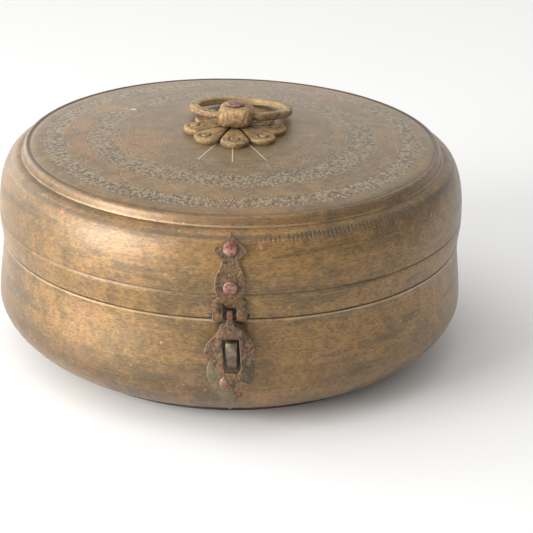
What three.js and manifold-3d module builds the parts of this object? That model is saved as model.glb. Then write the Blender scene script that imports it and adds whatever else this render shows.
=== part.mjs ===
// Spice box (masala dabba): a round brass box with a hinged lid, a hasp and staple, a ring handle and
// seven loose cups. Millimetres, +Z up. The origin is on the floor under the middle of the foot ring,
// the hasp faces -Y and the lid hinge is at +Y. Heights named "rise" and "drop" are from the seam.
import * as THREE from "three";
import { mergeVertices } from "three/addons/utils/BufferGeometryUtils.js";
import Module from "manifold-3d";

const wasm = await Module();
wasm.setup();

// ---- Driving dimensions -------------------------------------------------------------------------

const gap = 0.3; // between pieces that touch on the real object
const sheet = 1.6; // brass sheet of the bowl and the lid

// Bowl
const seamRadius = 122.5;
const seamHeight = 63;
const bowlBulge = 2.8; // belly beyond the seam
const bowlBellyDrop = 34.2;
const bowlRoundness = 1.6; // exponent of the lower curve
const footRadius = 97.4;
const footHeight = 2.6;
const footWidth = 4;
const footOverhang = 2; // foot ring beyond the bowl's flat floor

// Collar: the lip inside the bowl that the lid drops over
const collarRise = 8;
const collarDrop = 6;
const collarThickness = 1.4;
const collarPlay = 0.6; // lid wall to collar

// Lid
const lidBulge = 1.5;
const lidBellyRise = 12.6;
const shoulderInset = 10.9; // seam radius to the foot of the step
const shoulderRise = 43.2;
const shoulderRoundness = 2.4;
const stepInset = 3; // foot of the step to the disc's edge
const stepRise = 4.8;
const stepLip = { inset: 0.6, rise: 0.8 }; // where the step turns upright
const domeRise = 5.3;
const discFlat = 0.45; // share of the disc's radius where its middle cone starts

// Straps and leaves, all cut from one sheet
const strapThickness = 1.6;
const rivetShank = 1.6;
const strapRivetRadius = 3.5;
const leafRivetRadius = 3;
const rivetHeadHeight = 1.2;
const clinchHeight = 1;
const clinchSpread = 0.8; // clinched end beyond the shank

// Hasp
const haspPinRadius = 1.1;
const haspPinOffset = 5.5; // pin axis outside the seam radius
const haspPinRise = 4.4;
const haspPinLength = 20;
const haspPinShift = -0.5; // it stands out further on the left
const haspBarrelRadius = 2.6;
const strapTipDrop = 1.3; // below the step's foot
const strapRootRise = 8.4; // lower edge of the strap between its prongs
const strapRivets = { upper: 0.82, lower: 0.28 }; // shares of the strap's length, from its root
const strapForkGap = 6.6;
const strapForkWidth = 16.8;
const haspThickness = 1.6;
const haspTongueWidth = 2.8;
const haspTilt = THREE.MathUtils.degToRad(11); // how far the flap rests off the vertical
const haspLength = 41; // pin to tip
const slotWidth = 8.2;
const slotCentre = 0.6;
const slotTop = 11.4; // below the pin, along the flap
const slotBottom = 28.2;
const slotLean = 1.3;

// Lower plate and staple
const plateCentre = 0.8;
const plateRivet = { across: -1.4, drop: 31.8 };
const stapleCentre = 0.9;
const stapleWidth = 5.8;
const stapleStrip = 1.6;
const stapleTopDrop = 8.4;
const stapleBottomDrop = 22.4;
const stapleCorner = 2;
const stapleClearance = 0.35; // nose of the staple behind the slot's lower bar
const stapleToe = 3;

// Rear hinge
const hingeOffset = 7.5; // hinge axis outside the seam radius
const hingePinRadius = 1.5;
const hingeBarrelRadius = 3.4;
const hingeWidth = 17;
const hingeKnuckle = 6.6; // middle knuckle
const leafStart = 8; // from the seam
const leafMargin = 7.2; // tip of the lid's leaf to the step's foot
const leafRivets = { fromStart: 4.5, fromTip: 10 };

// Handle
const handleOffset = 1; // the handle sits a little to the right of the lid's middle
const handleTurn = THREE.MathUtils.degToRad(-8);
const petalCount = 8;
const rosetteRadius = 27.2;
const notchRadius = 19;
const rosetteEdge = 2.3;
const rosetteMiddle = 4;
const petalCrown = 0.3;
const bossSide = 18.8;
const bossHeight = 10;
const bossRound = 6;
const bossBevel = 1.8;
const pivotHeight = 3.9; // ring pivot above the boss's underside
const ringRadius = 25.4; // middle of the bar
const ringBar = { across: 5.2, tall: 4 };
const ringClearance = 0.36; // boss side to the start of the bow
const ringTilt = THREE.MathUtils.degToRad(-8.5);
const trunnionRadius = 1.9;
const trunnionDepth = 4.4;
const handleShank = 2.3;
const handleHeadRadius = 5;
const handleClinchSpread = 1.6;
const washerRadius = 7;
const washerThickness = 1.2;

// Cups
const cupHeight = 50;
const cupSheet = 1;
const cupGap = 1.5; // between neighbouring cups
const cupRoom = 7.2; // collar to the cups
const cupSideRoom = 1.5; // bowl's curve to a cup's curve

const around = 48; // facets round the box
const small = 10; // facets round a rivet or a pin
const cupFacets = 18;

// ---- Geometry helpers ---------------------------------------------------------------------------

const point = (x, y) => new THREE.Vector2(x, y);

// Any closed three.js geometry as a manifold solid, for joins and cuts.
function solid(geometry) {
  const bare = geometry.clone();
  bare.deleteAttribute("normal");
  bare.deleteAttribute("uv");
  const welded = mergeVertices(bare, 1e-3);
  return new wasm.Manifold(
    new wasm.Mesh({
      numProp: 3,
      vertProperties: welded.attributes.position.array,
      triVerts: new Uint32Array(welded.index.array),
    }),
  );
}

function toGeometry(body) {
  const mesh = body.getMesh();
  const geometry = new THREE.BufferGeometry();
  geometry.setAttribute("position", new THREE.BufferAttribute(mesh.vertProperties, 3));
  geometry.setIndex(new THREE.BufferAttribute(mesh.triVerts, 1));
  return geometry;
}

function cut(body, cutters) {
  return cutters.reduce((rest, cutter) => rest.subtract(solid(cutter)), solid(body));
}

function join(bodies) {
  return bodies.map(solid).reduce((all, body) => all.add(body));
}

// A profile of (radius, height) points turned about the Z axis. It runs anticlockwise, so that the
// faces point outwards.
function turned(profile, facets) {
  return new THREE.LatheGeometry(profile, facets).rotateX(Math.PI / 2);
}

// A quarter superellipse from an upright end to a level end.
function quarter(upright, level, exponent, steps) {
  const power = 2 / exponent;
  return Array.from({ length: steps + 1 }, (_, i) => {
    const angle = (Math.PI / 2) * (i / steps);
    const inward = 1 - Math.max(Math.cos(angle), 0) ** power;
    const along = Math.sin(angle) ** power;
    return point(
      THREE.MathUtils.lerp(upright.x, level.x, inward),
      THREE.MathUtils.lerp(upright.y, level.y, along),
    );
  });
}

// The profile moved sideways by a distance, to the right of its direction of travel.
function offset(profile, distance) {
  const sides = profile.slice(1).map((p, i) => {
    const way = p.clone().sub(profile[i]).normalize();
    return point(way.y, -way.x);
  });
  return profile.map((p, i) => {
    const before = sides[Math.max(i - 1, 0)];
    const after = sides[Math.min(i, sides.length - 1)];
    const mitre = before.clone().add(after).normalize();
    const moved = p.clone().addScaledVector(mitre, distance / mitre.dot(after));
    return p.x === 0 ? point(0, moved.y) : moved;
  });
}

// Where a wall's profile stands at a height: its radius, and how far its outward normal tips up.
function wallAt(profile, height) {
  const upper = profile.findIndex((p, i) => i > 0 && p.y >= height && profile[i - 1].y <= height);
  const [low, high] = [profile[upper - 1], profile[upper]];
  const share = (height - low.y) / (high.y - low.y);
  return {
    radius: THREE.MathUtils.lerp(low.x, high.x, share),
    tip: Math.atan2(low.x - high.x, high.y - low.y),
  };
}

// An outline drawn looking at the front (x to the right, y up), pushed through the front wall.
function frontExtrusion(outline, depth, nearY) {
  const geometry = new THREE.ExtrudeGeometry(outline, {
    depth,
    bevelEnabled: false,
    curveSegments: 2,
  });
  return geometry.rotateX(Math.PI / 2).translate(0, nearY, 0);
}

// A section drawn from the side (x outwards from the axis, y up), as wide as asked, in front.
function sideExtrusion(section, width, centre) {
  const geometry = new THREE.ExtrudeGeometry(section, {
    depth: width,
    bevelEnabled: false,
    curveSegments: small,
  });
  const toFront = new THREE.Matrix4().makeBasis(
    new THREE.Vector3(0, -1, 0),
    new THREE.Vector3(0, 0, 1),
    new THREE.Vector3(-1, 0, 0),
  );
  return geometry.applyMatrix4(toFront).translate(centre + width / 2, 0, 0);
}

function circle(x, y, radius) {
  return new THREE.Path().absarc(x, y, radius, 0, 2 * Math.PI);
}

// A bar along X, for pins, trunnions and their holes.
function crossBar(radius, from, to, y, z) {
  const bar = new THREE.CylinderGeometry(radius, radius, to - from, small);
  return bar.rotateZ(Math.PI / 2).translate((from + to) / 2, y, z);
}

// ---- Profiles of the bowl and the lid -----------------------------------------------------------

const floorUnderside = footHeight + gap;
const bowlRim = point(seamRadius, seamHeight - gap / 2);
const bowlBelly = point(seamRadius + bowlBulge, seamHeight - bowlBellyDrop);
const floorEdge = point(footRadius - footOverhang, floorUnderside);
const bowlOutside = [
  point(0, floorUnderside),
  ...quarter(bowlBelly, floorEdge, bowlRoundness, 6).reverse(),
  ...[0.35, 0.7].map((share) => {
    const ease = share * share * (3 - 2 * share);
    return point(bowlBelly.x - bowlBulge * ease, THREE.MathUtils.lerp(bowlBelly.y, bowlRim.y, share));
  }),
  bowlRim,
];
const bowlInside = offset(bowlOutside, -sheet);
bowlInside.at(-1).y = bowlRim.y;

const lidRim = point(seamRadius, seamHeight + gap / 2);
const lidBelly = point(seamRadius + lidBulge, seamHeight + lidBellyRise);
const stepFoot = point(seamRadius - shoulderInset, seamHeight + shoulderRise);
const discEdge = point(stepFoot.x - stepInset, stepFoot.y + stepRise);
const discHeight = (radius) => discEdge.y + domeRise * (1 - (radius / discEdge.x) ** 2);
const coneRadius = discEdge.x * discFlat;
const coneSlope = (discHeight(0) - discHeight(coneRadius)) / coneRadius;
const lidWall = [
  lidRim,
  point(seamRadius + lidBulge * 0.6, THREE.MathUtils.lerp(lidRim.y, lidBelly.y, 0.45)),
  ...quarter(lidBelly, stepFoot, shoulderRoundness, 7),
];
const lidOutside = [
  ...lidWall,
  ...quarter(point(stepFoot.x - stepLip.inset, stepFoot.y + stepLip.rise), discEdge, 2, 2),
  ...[0.75, discFlat].map((share) => point(discEdge.x * share, discHeight(discEdge.x * share))),
  point(0, discHeight(0)),
];
const lidInside = offset(lidOutside, -sheet);
lidInside[0].y = lidRim.y;

// The solid inside a wall's outer face grown by a distance, and the sheet that lies on the wall.
function grown(profile, distance, low, high) {
  const face = offset(profile, distance).filter((p) => p.x > 0);
  return turned([point(0, low), point(face[0].x, low), ...face, point(0, high)], around);
}

function onWall(outline, profile) {
  const [low, high] = [profile[0].y - 10, profile.at(-1).y + 10];
  const lining = solid(grown(profile, gap, low, high));
  const cover = solid(grown(profile, gap + strapThickness, low, high));
  const blank = solid(frontExtrusion(outline, 2 * seamRadius, 0));
  return blank.intersect(cover).subtract(lining);
}

// ---- Fasteners ----------------------------------------------------------------------------------

// A rivet along +Z whose head sits on the plane z = 0, through a stack of the given thickness.
function rivetGeometry(headRadius, headHeight, shank, stack, clinchRadius) {
  const end = -stack - 2 * gap;
  return turned(
    [
      point(0, end - clinchHeight),
      point(clinchRadius, end - clinchHeight),
      point(clinchRadius, end),
      point(shank, end),
      point(shank, 0),
      point(headRadius, 0),
      point(headRadius * 0.94, headHeight * 0.5),
      point(headRadius * 0.6, headHeight * 0.9),
      point(0, headHeight),
    ],
    small,
  );
}

// Where a rivet goes through a strap on the front of a wall.
function rivetPlace(profile, across, height) {
  const wall = wallAt(profile, height);
  const reach = gap + strapThickness + gap;
  return {
    position: new THREE.Vector3(
      across,
      -(wall.radius + reach * Math.cos(wall.tip)),
      height + reach * Math.sin(wall.tip),
    ),
    rotation: Math.PI / 2 - wall.tip,
  };
}

function rivetHole(place) {
  const bore = new THREE.CylinderGeometry(rivetShank + gap, rivetShank + gap, 24, small);
  return bore.rotateX(Math.PI / 2 + place.rotation).translate(...place.position.toArray());
}

// ---- Materials and assembly ---------------------------------------------------------------------

const metal = (color, roughness) => () =>
  new THREE.MeshStandardMaterial({ color, roughness, metalness: 0.9 });
const agedBrass = metal(0x8a6b3c, 0.5);
const innerBrass = metal(0xa88346, 0.45);
const castBrass = metal(0x9a7440, 0.5);
const strapBronze = metal(0x7d6450, 0.65);
const copper = metal(0xa8605c, 0.5);
const steel = metal(0x8b8878, 0.5);

const box = new THREE.Group();

function add(name, geometry, material, parent = box) {
  const mesh = new THREE.Mesh(geometry, material());
  mesh.name = name;
  parent.add(mesh);
  return mesh;
}

function addRivet(name, place, headRadius, parent = box) {
  const shape = rivetGeometry(
    headRadius,
    rivetHeadHeight,
    rivetShank,
    gap + strapThickness + sheet,
    rivetShank + clinchSpread,
  );
  const rivet = add(name, shape, copper, parent);
  rivet.position.copy(place.position);
  rivet.rotation.x = place.rotation;
}

// ---- Hasp strap and lower plate -----------------------------------------------------------------

const haspPin = point(seamRadius + haspPinOffset, seamHeight + haspPinRise);

// An outline symmetrical about a line, from half widths at heights given from the top down.
function spade(centre, halfWidths) {
  const right = halfWidths.map(([half, height]) => point(centre + half, height));
  const left = halfWidths.map(([half, height]) => point(centre - half, height)).reverse();
  const outline = new THREE.Shape().moveTo(right[0].x, right[0].y);
  outline.splineThru(right.slice(1));
  outline.lineTo(left[0].x, left[0].y);
  outline.splineThru(left.slice(1));
  return outline;
}

// A knuckle seen from the side: a barrel round the pin, with an arm to its leaf between two points
// of the leaf's end, taken anticlockwise.
function knuckleSection(axis, barrelRadius, boreRadius, first, last) {
  const touch = (from, turn) => {
    const away = from.clone().sub(axis);
    return away.angle() + turn * Math.acos(barrelRadius / away.length());
  };
  const [start, end] = [touch(first, 1), touch(last, -1)];
  const arcStart = point(barrelRadius, 0).rotateAround(point(0, 0), start).add(axis);
  const section = new THREE.Shape().moveTo(first.x, first.y);
  section.lineTo(arcStart.x, arcStart.y);
  section.absarc(axis.x, axis.y, barrelRadius, start, end, false);
  section.lineTo(last.x, last.y);
  section.holes.push(circle(axis.x, axis.y, boreRadius));
  return section;
}

// The two faces of a sheet that lies on a wall, at a height. The inner one is just inside the sheet.
const armStep = 0.05;
function leafFaces(profile, height) {
  const wall = wallAt(profile, height);
  const lean = Math.cos(wall.tip);
  return {
    inner: point(wall.radius + gap / lean + armStep, height),
    outer: point(wall.radius + (gap + strapThickness) / lean, height),
  };
}

const strapTip = stepFoot.y - strapTipDrop;
const strapRoot = seamHeight + strapRootRise;
const alongStrap = (share) => THREE.MathUtils.lerp(strapRoot, strapTip, share);
const strapOutline = spade(
  0,
  [
    [0.5, 1],
    [2.6, 0.93],
    [7.4, 0.84],
    [8, 0.805],
    [5.4, 0.725],
    [4.5, 0.65],
    [6.2, 0.49],
    [7.5, 0.33],
    [6.9, 0.2],
    [5.8, 0.12],
    [7.4, 0.06],
    [strapForkWidth / 2, 0],
  ].map(([half, share]) => [half, alongStrap(share)]),
);
const prongOverlap = 1.6; // each prong's arm starts this far up the strap
const prongWidth = (strapForkWidth - strapForkGap) / 2;
const prongCentre = strapForkGap / 2 + prongWidth / 2;
const prongFaces = leafFaces(lidWall, strapRoot + prongOverlap);
const prongSection = knuckleSection(
  haspPin,
  haspBarrelRadius,
  haspPinRadius + gap,
  prongFaces.inner,
  prongFaces.outer,
);
const strapRivetPlaces = Object.entries(strapRivets).map(([name, share]) => ({
  name,
  place: rivetPlace(lidWall, 0, alongStrap(share)),
}));
const strapBody = [-prongCentre, prongCentre]
  .map((centre) => solid(sideExtrusion(prongSection, prongWidth, centre)))
  .reduce((all, prong) => all.add(prong), onWall(strapOutline, lidWall));
const strapSolid = strapRivetPlaces.reduce(
  (rest, rivet) => rest.subtract(solid(rivetHole(rivet.place))),
  strapBody,
);

const plateOutline = spade(plateCentre, [
  [2.6, seamHeight - 1.2],
  [5.6, seamHeight - 3.4],
  [6.6, seamHeight - 9],
  [8, seamHeight - 16],
  [11, seamHeight - 23],
  [11.5, seamHeight - 27],
  [10.4, seamHeight - 31.6],
  [7, seamHeight - 37.4],
  [3, seamHeight - 43],
  [3, seamHeight - 45.5],
  [0.4, seamHeight - 51.4],
]);
const plateRivetPlace = rivetPlace(bowlOutside, plateRivet.across, seamHeight - plateRivet.drop);

// ---- Staple: a strip bent to a square loop, its two legs clinched inside the wall ------------------

// Its nose stops just behind the slot's lower bar, so that the lid lifts with the flap hanging.
const barBack = haspPin.x + slotBottom * Math.sin(haspTilt) - (haspThickness / 2) * Math.cos(haspTilt);
const stapleNose = barBack - stapleClearance;
const stapleTop = seamHeight - stapleTopDrop;
const stapleBottom = seamHeight - stapleBottomDrop;
const stapleInside = (height) => wallAt(bowlOutside, height).radius - sheet - 2 * gap;

function stapleSection() {
  const topBack = stapleInside(stapleTop);
  const bottomBack = stapleInside(stapleBottom);
  const section = new THREE.Shape().moveTo(topBack - stapleStrip, stapleTop);
  section.lineTo(topBack - stapleStrip, stapleTop - stapleToe);
  section.lineTo(topBack, stapleTop - stapleToe);
  section.lineTo(topBack, stapleTop - stapleStrip);
  section.lineTo(stapleNose - stapleStrip, stapleTop - stapleStrip);
  section.lineTo(stapleNose - stapleStrip, stapleBottom + stapleStrip);
  section.lineTo(bottomBack, stapleBottom + stapleStrip);
  section.lineTo(bottomBack, stapleBottom + stapleToe);
  section.lineTo(bottomBack - stapleStrip, stapleBottom + stapleToe);
  section.lineTo(bottomBack - stapleStrip, stapleBottom);
  const [lowY, highY, inX] = [stapleBottom, stapleTop, stapleNose - stapleCorner];
  section.absarc(inX, lowY + stapleCorner, stapleCorner, -Math.PI / 2, 0, false);
  section.absarc(inX, highY - stapleCorner, stapleCorner, 0, Math.PI / 2, false);
  return section;
}

function stapleLegHole(height) {
  const hole = new THREE.BoxGeometry(stapleWidth + 2 * gap, 24, stapleStrip + 2 * gap);
  return hole.translate(stapleCentre, -wallAt(bowlOutside, height).radius, height);
}
const stapleHoles = [stapleTop - stapleStrip / 2, stapleBottom + stapleStrip / 2].map(stapleLegHole);

const plateSolid = [...stapleHoles, rivetHole(plateRivetPlace)].reduce(
  (rest, hole) => rest.subtract(solid(hole)),
  onWall(plateOutline, bowlOutside),
);

// ---- Rear hinge: drawn in front, then turned to the back -------------------------------------------

const hingeAxis = point(seamRadius + hingeOffset, seamHeight);

const leafLength = shoulderRise - leafMargin - leafStart;
const leafRivetDistances = [
  leafStart + leafRivets.fromStart,
  leafStart + leafLength - leafRivets.fromTip,
];

// A leaf goes up on the lid (way 1) or down on the bowl (way -1).
function hingeLeaf(profile, way, knuckles) {
  const half = hingeWidth / 2;
  const widths = [
    [half, 0],
    [half * 0.86, 0.07],
    [half * 0.93, 0.21],
    [half * 0.58, 0.43],
    [half * 0.9, 0.68],
    [half * 0.46, 0.86],
    [0.5, 1],
  ].map(([width, share]) => [width, seamHeight + way * (leafStart + share * leafLength)]);
  const outline = spade(0, way > 0 ? widths.reverse() : widths);
  const faces = leafFaces(profile, seamHeight + way * (leafStart + 1));
  const ends = way > 0 ? [faces.inner, faces.outer] : [faces.outer, faces.inner];
  const section = knuckleSection(hingeAxis, hingeBarrelRadius, hingePinRadius + gap, ...ends);
  const holes = leafRivetDistances.map((distance) =>
    rivetHole(rivetPlace(profile, 0, seamHeight + way * distance)),
  );
  const body = knuckles
    .map(([width, centre]) => solid(sideExtrusion(section, width, centre)))
    .reduce((all, knuckle) => all.add(knuckle), onWall(outline, profile));
  return holes.reduce((rest, hole) => rest.subtract(solid(hole)), body);
}

const sideKnuckle = (hingeWidth - hingeKnuckle) / 2 - gap;
const sideKnuckleCentre = (hingeWidth - sideKnuckle) / 2;
const rearHoles = (profile, way) =>
  leafRivetDistances.map((distance) =>
    rivetHole(rivetPlace(profile, 0, seamHeight + way * distance)).rotateZ(Math.PI),
  );

// ---- Bowl, foot and collar -------------------------------------------------------------------------

const bowlHoles = [...stapleHoles, rivetHole(plateRivetPlace), ...rearHoles(bowlOutside, -1)];
const bowlShell = turned([...bowlOutside, ...bowlInside.toReversed()], around);
add("base_bowl", toGeometry(cut(bowlShell, bowlHoles)), agedBrass);

const footInner = footRadius - footWidth;
const footProfile = [
  point(footInner, 0),
  point(footRadius, 0),
  point(footRadius, footHeight),
  point(footInner, footHeight),
  point(footInner, 0),
];
add("base_foot_ring", turned(footProfile, around), agedBrass);

const collarOuter = seamRadius - sheet - collarPlay;
const collarInner = collarOuter - collarThickness;
const collarLow = seamHeight - collarDrop;
const collarHigh = seamHeight + collarRise;
const collarFlare = wallAt(bowlInside, collarLow).radius - gap - collarOuter;
const collarProfile = [
  point(collarInner + collarFlare, collarLow),
  point(collarOuter + collarFlare, collarLow),
  point(collarOuter, seamHeight),
  point(collarOuter, collarHigh),
  point(collarInner, collarHigh),
  point(collarInner, seamHeight),
  point(collarInner + collarFlare, collarLow),
];
add("base_collar", turned(collarProfile, around), innerBrass);

add("hasp_plate", toGeometry(plateSolid), strapBronze);
addRivet("hasp_plate_rivet", plateRivetPlace, strapRivetRadius - 0.3);
add("hasp_staple", sideExtrusion(stapleSection(), stapleWidth, stapleCentre), steel);

// ---- Lid -------------------------------------------------------------------------------------------

const handleBore = new THREE.CylinderGeometry(handleShank + gap, handleShank + gap, 40, small);
handleBore.rotateX(Math.PI / 2).translate(handleOffset, 0, discHeight(0));
const lidHoles = [
  ...strapRivetPlaces.map((rivet) => rivetHole(rivet.place)),
  ...rearHoles(lidWall, 1),
  handleBore,
];
const lidShell = turned([...lidInside.toReversed(), ...lidOutside], around);
add("lid_shell", toGeometry(cut(lidShell, lidHoles)), agedBrass);

add("hasp_strap", toGeometry(strapSolid), strapBronze);
strapRivetPlaces.forEach((rivet) =>
  addRivet("hasp_strap_rivet_" + rivet.name, rivet.place, strapRivetRadius),
);
const pinFrom = haspPinShift - haspPinLength / 2;
const haspPinBar = crossBar(haspPinRadius, pinFrom, pinFrom + haspPinLength, -haspPin.x, haspPin.y);
add("hasp_pin", haspPinBar, steel);

// ---- Rear hinge pieces, turned to the back -----------------------------------------------------------

const rear = new THREE.Group();
rear.rotation.z = Math.PI;
box.add(rear);
const middleKnuckle = [[hingeKnuckle, 0]];
const outerKnuckles = [
  [sideKnuckle, -sideKnuckleCentre],
  [sideKnuckle, sideKnuckleCentre],
];
const leaves = [
  { name: "base", profile: bowlOutside, way: -1, knuckles: middleKnuckle },
  { name: "lid", profile: lidWall, way: 1, knuckles: outerKnuckles },
];
leaves.forEach(({ name, profile, way, knuckles }) => {
  const leaf = hingeLeaf(profile, way, knuckles);
  add("rear_hinge_" + name + "_leaf", toGeometry(leaf), strapBronze, rear);
  leafRivetDistances.forEach((distance, i) => {
    const place = rivetPlace(profile, 0, seamHeight + way * distance);
    addRivet("rear_hinge_" + name + "_rivet_" + (i + 1), place, leafRivetRadius, rear);
  });
});
const hingePinEnd = hingeWidth / 2 + 1;
const hingePin = crossBar(hingePinRadius, -hingePinEnd, hingePinEnd, -hingeAxis.x, hingeAxis.y);
add("rear_hinge_pin", hingePin, steel, rear);

// ---- Hasp flap: hangs on the pin by a narrow tongue, with a slot that drops over the staple -------------

function haspOutline() {
  const half = haspTongueWidth / 2;
  const below = (share) => -share * haspLength;
  const outline = new THREE.Shape().moveTo(-half, -haspBarrelRadius / 2);
  outline.lineTo(-half - 0.2, below(0.115));
  outline.splineThru(
    [
      [-3.6, 0.14],
      [-6.4, 0.235],
      [-10.1, 0.325],
      [-11.8, 0.44],
      [-10.9, 0.515],
      [-8.2, 0.59],
      [-4.7, 0.67],
      [-2, 0.765],
      [0.7, 0.865],
    ].map(([x, share]) => point(x, below(share))),
  );
  outline.lineTo(4.5, below(1));
  outline.lineTo(5.6, below(1));
  outline.lineTo(10, below(0.82));
  outline.splineThru(
    [
      [5.9, 0.775],
      [7, 0.65],
      [11.5, 0.545],
      [12.9, 0.405],
      [10.2, 0.275],
      [6.1, 0.178],
      [3.7, 0.135],
      [half + 0.2, 0.115],
    ].map(([x, share]) => point(x, below(share))),
  );
  outline.lineTo(half, -haspBarrelRadius / 2);
  const slot = new THREE.Path().moveTo(slotCentre - slotWidth / 2, -slotTop);
  slot.lineTo(slotCentre + slotWidth / 2, -slotTop);
  slot.lineTo(slotCentre + slotWidth / 2 + slotLean, -slotBottom);
  slot.lineTo(slotCentre - slotWidth / 2 + slotLean, -slotBottom);
  outline.holes.push(slot);
  return outline;
}

const hasp = new THREE.Group();
hasp.position.set(0, -haspPin.x, haspPin.y);
hasp.rotation.x = -haspTilt;
box.add(hasp);
const haspLoop = new THREE.Shape().absarc(0, 0, haspBarrelRadius, 0, 2 * Math.PI);
const haspBore = crossBar(haspPinRadius + gap, -strapForkGap, strapForkGap, 0, 0);
const haspSolid = join([
  frontExtrusion(haspOutline(), haspThickness, haspThickness / 2),
  sideExtrusion(haspLoop, haspTongueWidth, 0),
]).subtract(solid(haspBore));
add("hasp_flap", toGeometry(haspSolid), strapBronze, hasp);

// ---- Handle: rosette, boss, ring, and the rivet that holds them on the lid -------------------------------

const handle = new THREE.Group();
handle.position.set(handleOffset, 0, discHeight(0));
box.add(handle);

// Each petal's end is a circle that passes through the notches on both sides of it.
function rosetteOutline() {
  const half = Math.PI / petalCount;
  const centre =
    (rosetteRadius ** 2 - notchRadius ** 2) / (2 * (rosetteRadius - notchRadius * Math.cos(half)));
  const radius = rosetteRadius - centre;
  const spread = Math.atan2(notchRadius * Math.sin(half), notchRadius * Math.cos(half) - centre);
  const outline = new THREE.Shape();
  for (let i = 0; i < petalCount; i++) {
    const angle = (2 * Math.PI * i) / petalCount;
    const middle = point(centre, 0).rotateAround(point(0, 0), angle);
    outline.absarc(middle.x, middle.y, radius, angle - spread, angle + spread, false);
  }
  return outline;
}

const rosetteTop = gap + rosetteMiddle;
const rosetteBlankRadius = rosetteRadius + 1;
const rosetteUnderside = gap - coneSlope * rosetteBlankRadius;
const rosetteBlank = turned(
  [
    point(0, gap),
    point(rosetteBlankRadius, rosetteUnderside),
    point(rosetteBlankRadius, rosetteUnderside + rosetteEdge),
    point(notchRadius, (rosetteUnderside + rosetteEdge + rosetteTop) / 2 + petalCrown),
    point(bossSide / 2, rosetteTop),
    point(0, rosetteTop),
  ],
  around,
);
const petals = new THREE.ExtrudeGeometry(rosetteOutline(), {
  depth: 4 * rosetteMiddle,
  bevelEnabled: false,
  curveSegments: 5,
}).translate(0, 0, -rosetteMiddle);
const shankHole = new THREE.CylinderGeometry(handleShank + gap, handleShank + gap, 60, small);
shankHole.rotateX(Math.PI / 2);
const rosette = solid(rosetteBlank).intersect(solid(petals)).subtract(solid(shankHole));
add("handle_rosette", toGeometry(rosette), castBrass, handle);

const knob = new THREE.Group();
knob.position.z = rosetteTop + gap;
knob.rotation.z = handleTurn;
handle.add(knob);

function bossOutline() {
  const half = bossSide / 2 - bossBevel;
  const round = bossRound - bossBevel;
  const inner = half - round;
  const outline = new THREE.Shape();
  for (let i = 0; i < 4; i++) {
    const angle = (Math.PI / 2) * i;
    const corner = point(inner, inner).rotateAround(point(0, 0), angle);
    outline.absarc(corner.x, corner.y, round, angle, angle + Math.PI / 2, false);
  }
  return outline;
}

const bossBlank = new THREE.ExtrudeGeometry(bossOutline(), {
  depth: bossHeight - 2 * bossBevel,
  bevelThickness: bossBevel,
  bevelSize: bossBevel,
  bevelSegments: 2,
  curveSegments: 4,
}).translate(0, 0, bossBevel);
const socketFrom = bossSide / 2 - trunnionDepth - gap;
const sockets = [-1, 1].map((side) => {
  const ends = [side * socketFrom, side * bossSide].sort((a, b) => a - b);
  return crossBar(trunnionRadius + gap, ...ends, 0, pivotHeight);
});
add("handle_boss", toGeometry(cut(bossBlank, [...sockets, shankHole])), castBrass, knob);

const ring = new THREE.Group();
ring.position.z = pivotHeight;
ring.rotation.x = ringTilt;
knob.add(ring);

// The bar starts just clear of the boss's sides, where the ring's inner edge meets them.
const ringCentre = Math.sqrt(ringRadius ** 2 - (bossSide / 2) ** 2);
const ringStart = Math.asin((bossSide / 2 + ringClearance) / (ringRadius - ringBar.across / 2));
const ringSteps = 18;
const ringPath = new THREE.CatmullRomCurve3(
  Array.from({ length: ringSteps + 1 }, (_, i) => {
    const angle = THREE.MathUtils.lerp(ringStart, 2 * Math.PI - ringStart, i / ringSteps);
    return new THREE.Vector3(
      ringRadius * Math.sin(angle),
      ringCentre - ringRadius * Math.cos(angle),
      0,
    );
  }),
);
const barSection = new THREE.Shape();
const barCorner = 0.3;
[
  [1, 1 - 2 * barCorner],
  [1 - barCorner, 1],
  [barCorner - 1, 1],
  [-1, 1 - 2 * barCorner],
  [-1, 2 * barCorner - 1],
  [barCorner - 1, -1],
  [1 - barCorner, -1],
  [1, 2 * barCorner - 1],
].forEach(([x, y], i) => {
  const [across, tall] = [(x * ringBar.tall) / 2, (y * ringBar.across) / 2];
  if (i === 0) barSection.moveTo(across, tall);
  else barSection.lineTo(across, tall);
});
const ringBow = new THREE.ExtrudeGeometry(barSection, { steps: 34, extrudePath: ringPath });
const trunnions = [-1, 1].map((side) => {
  const inner = bossSide / 2 - trunnionDepth;
  const ends = [side * inner, side * (bossSide / 2 + ringBar.across)].sort((a, b) => a - b);
  return crossBar(trunnionRadius, ...ends, 0, 0);
});
add("handle_ring", toGeometry(join([ringBow, ...trunnions])), castBrass, ring);

const washerTop = -sheet - gap - coneSlope * washerRadius;
const handleStack = rosetteTop + bossHeight + gap - washerTop + washerThickness;
const handleRivetShape = rivetGeometry(
  handleHeadRadius,
  rivetHeadHeight,
  handleShank,
  handleStack,
  handleShank + handleClinchSpread,
);
const handleRivet = add("handle_rivet", handleRivetShape, copper, handle);
handleRivet.position.z = rosetteTop + gap + bossHeight + gap;
const washerProfile = [
  point(handleShank + gap, washerTop - washerThickness),
  point(washerRadius, washerTop - washerThickness),
  point(washerRadius, washerTop),
  point(handleShank + gap, washerTop),
  point(handleShank + gap, washerTop - washerThickness),
];
add("handle_washer", turned(washerProfile, small * 2), innerBrass, handle);

// ---- Cups ----------------------------------------------------------------------------------------------

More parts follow.
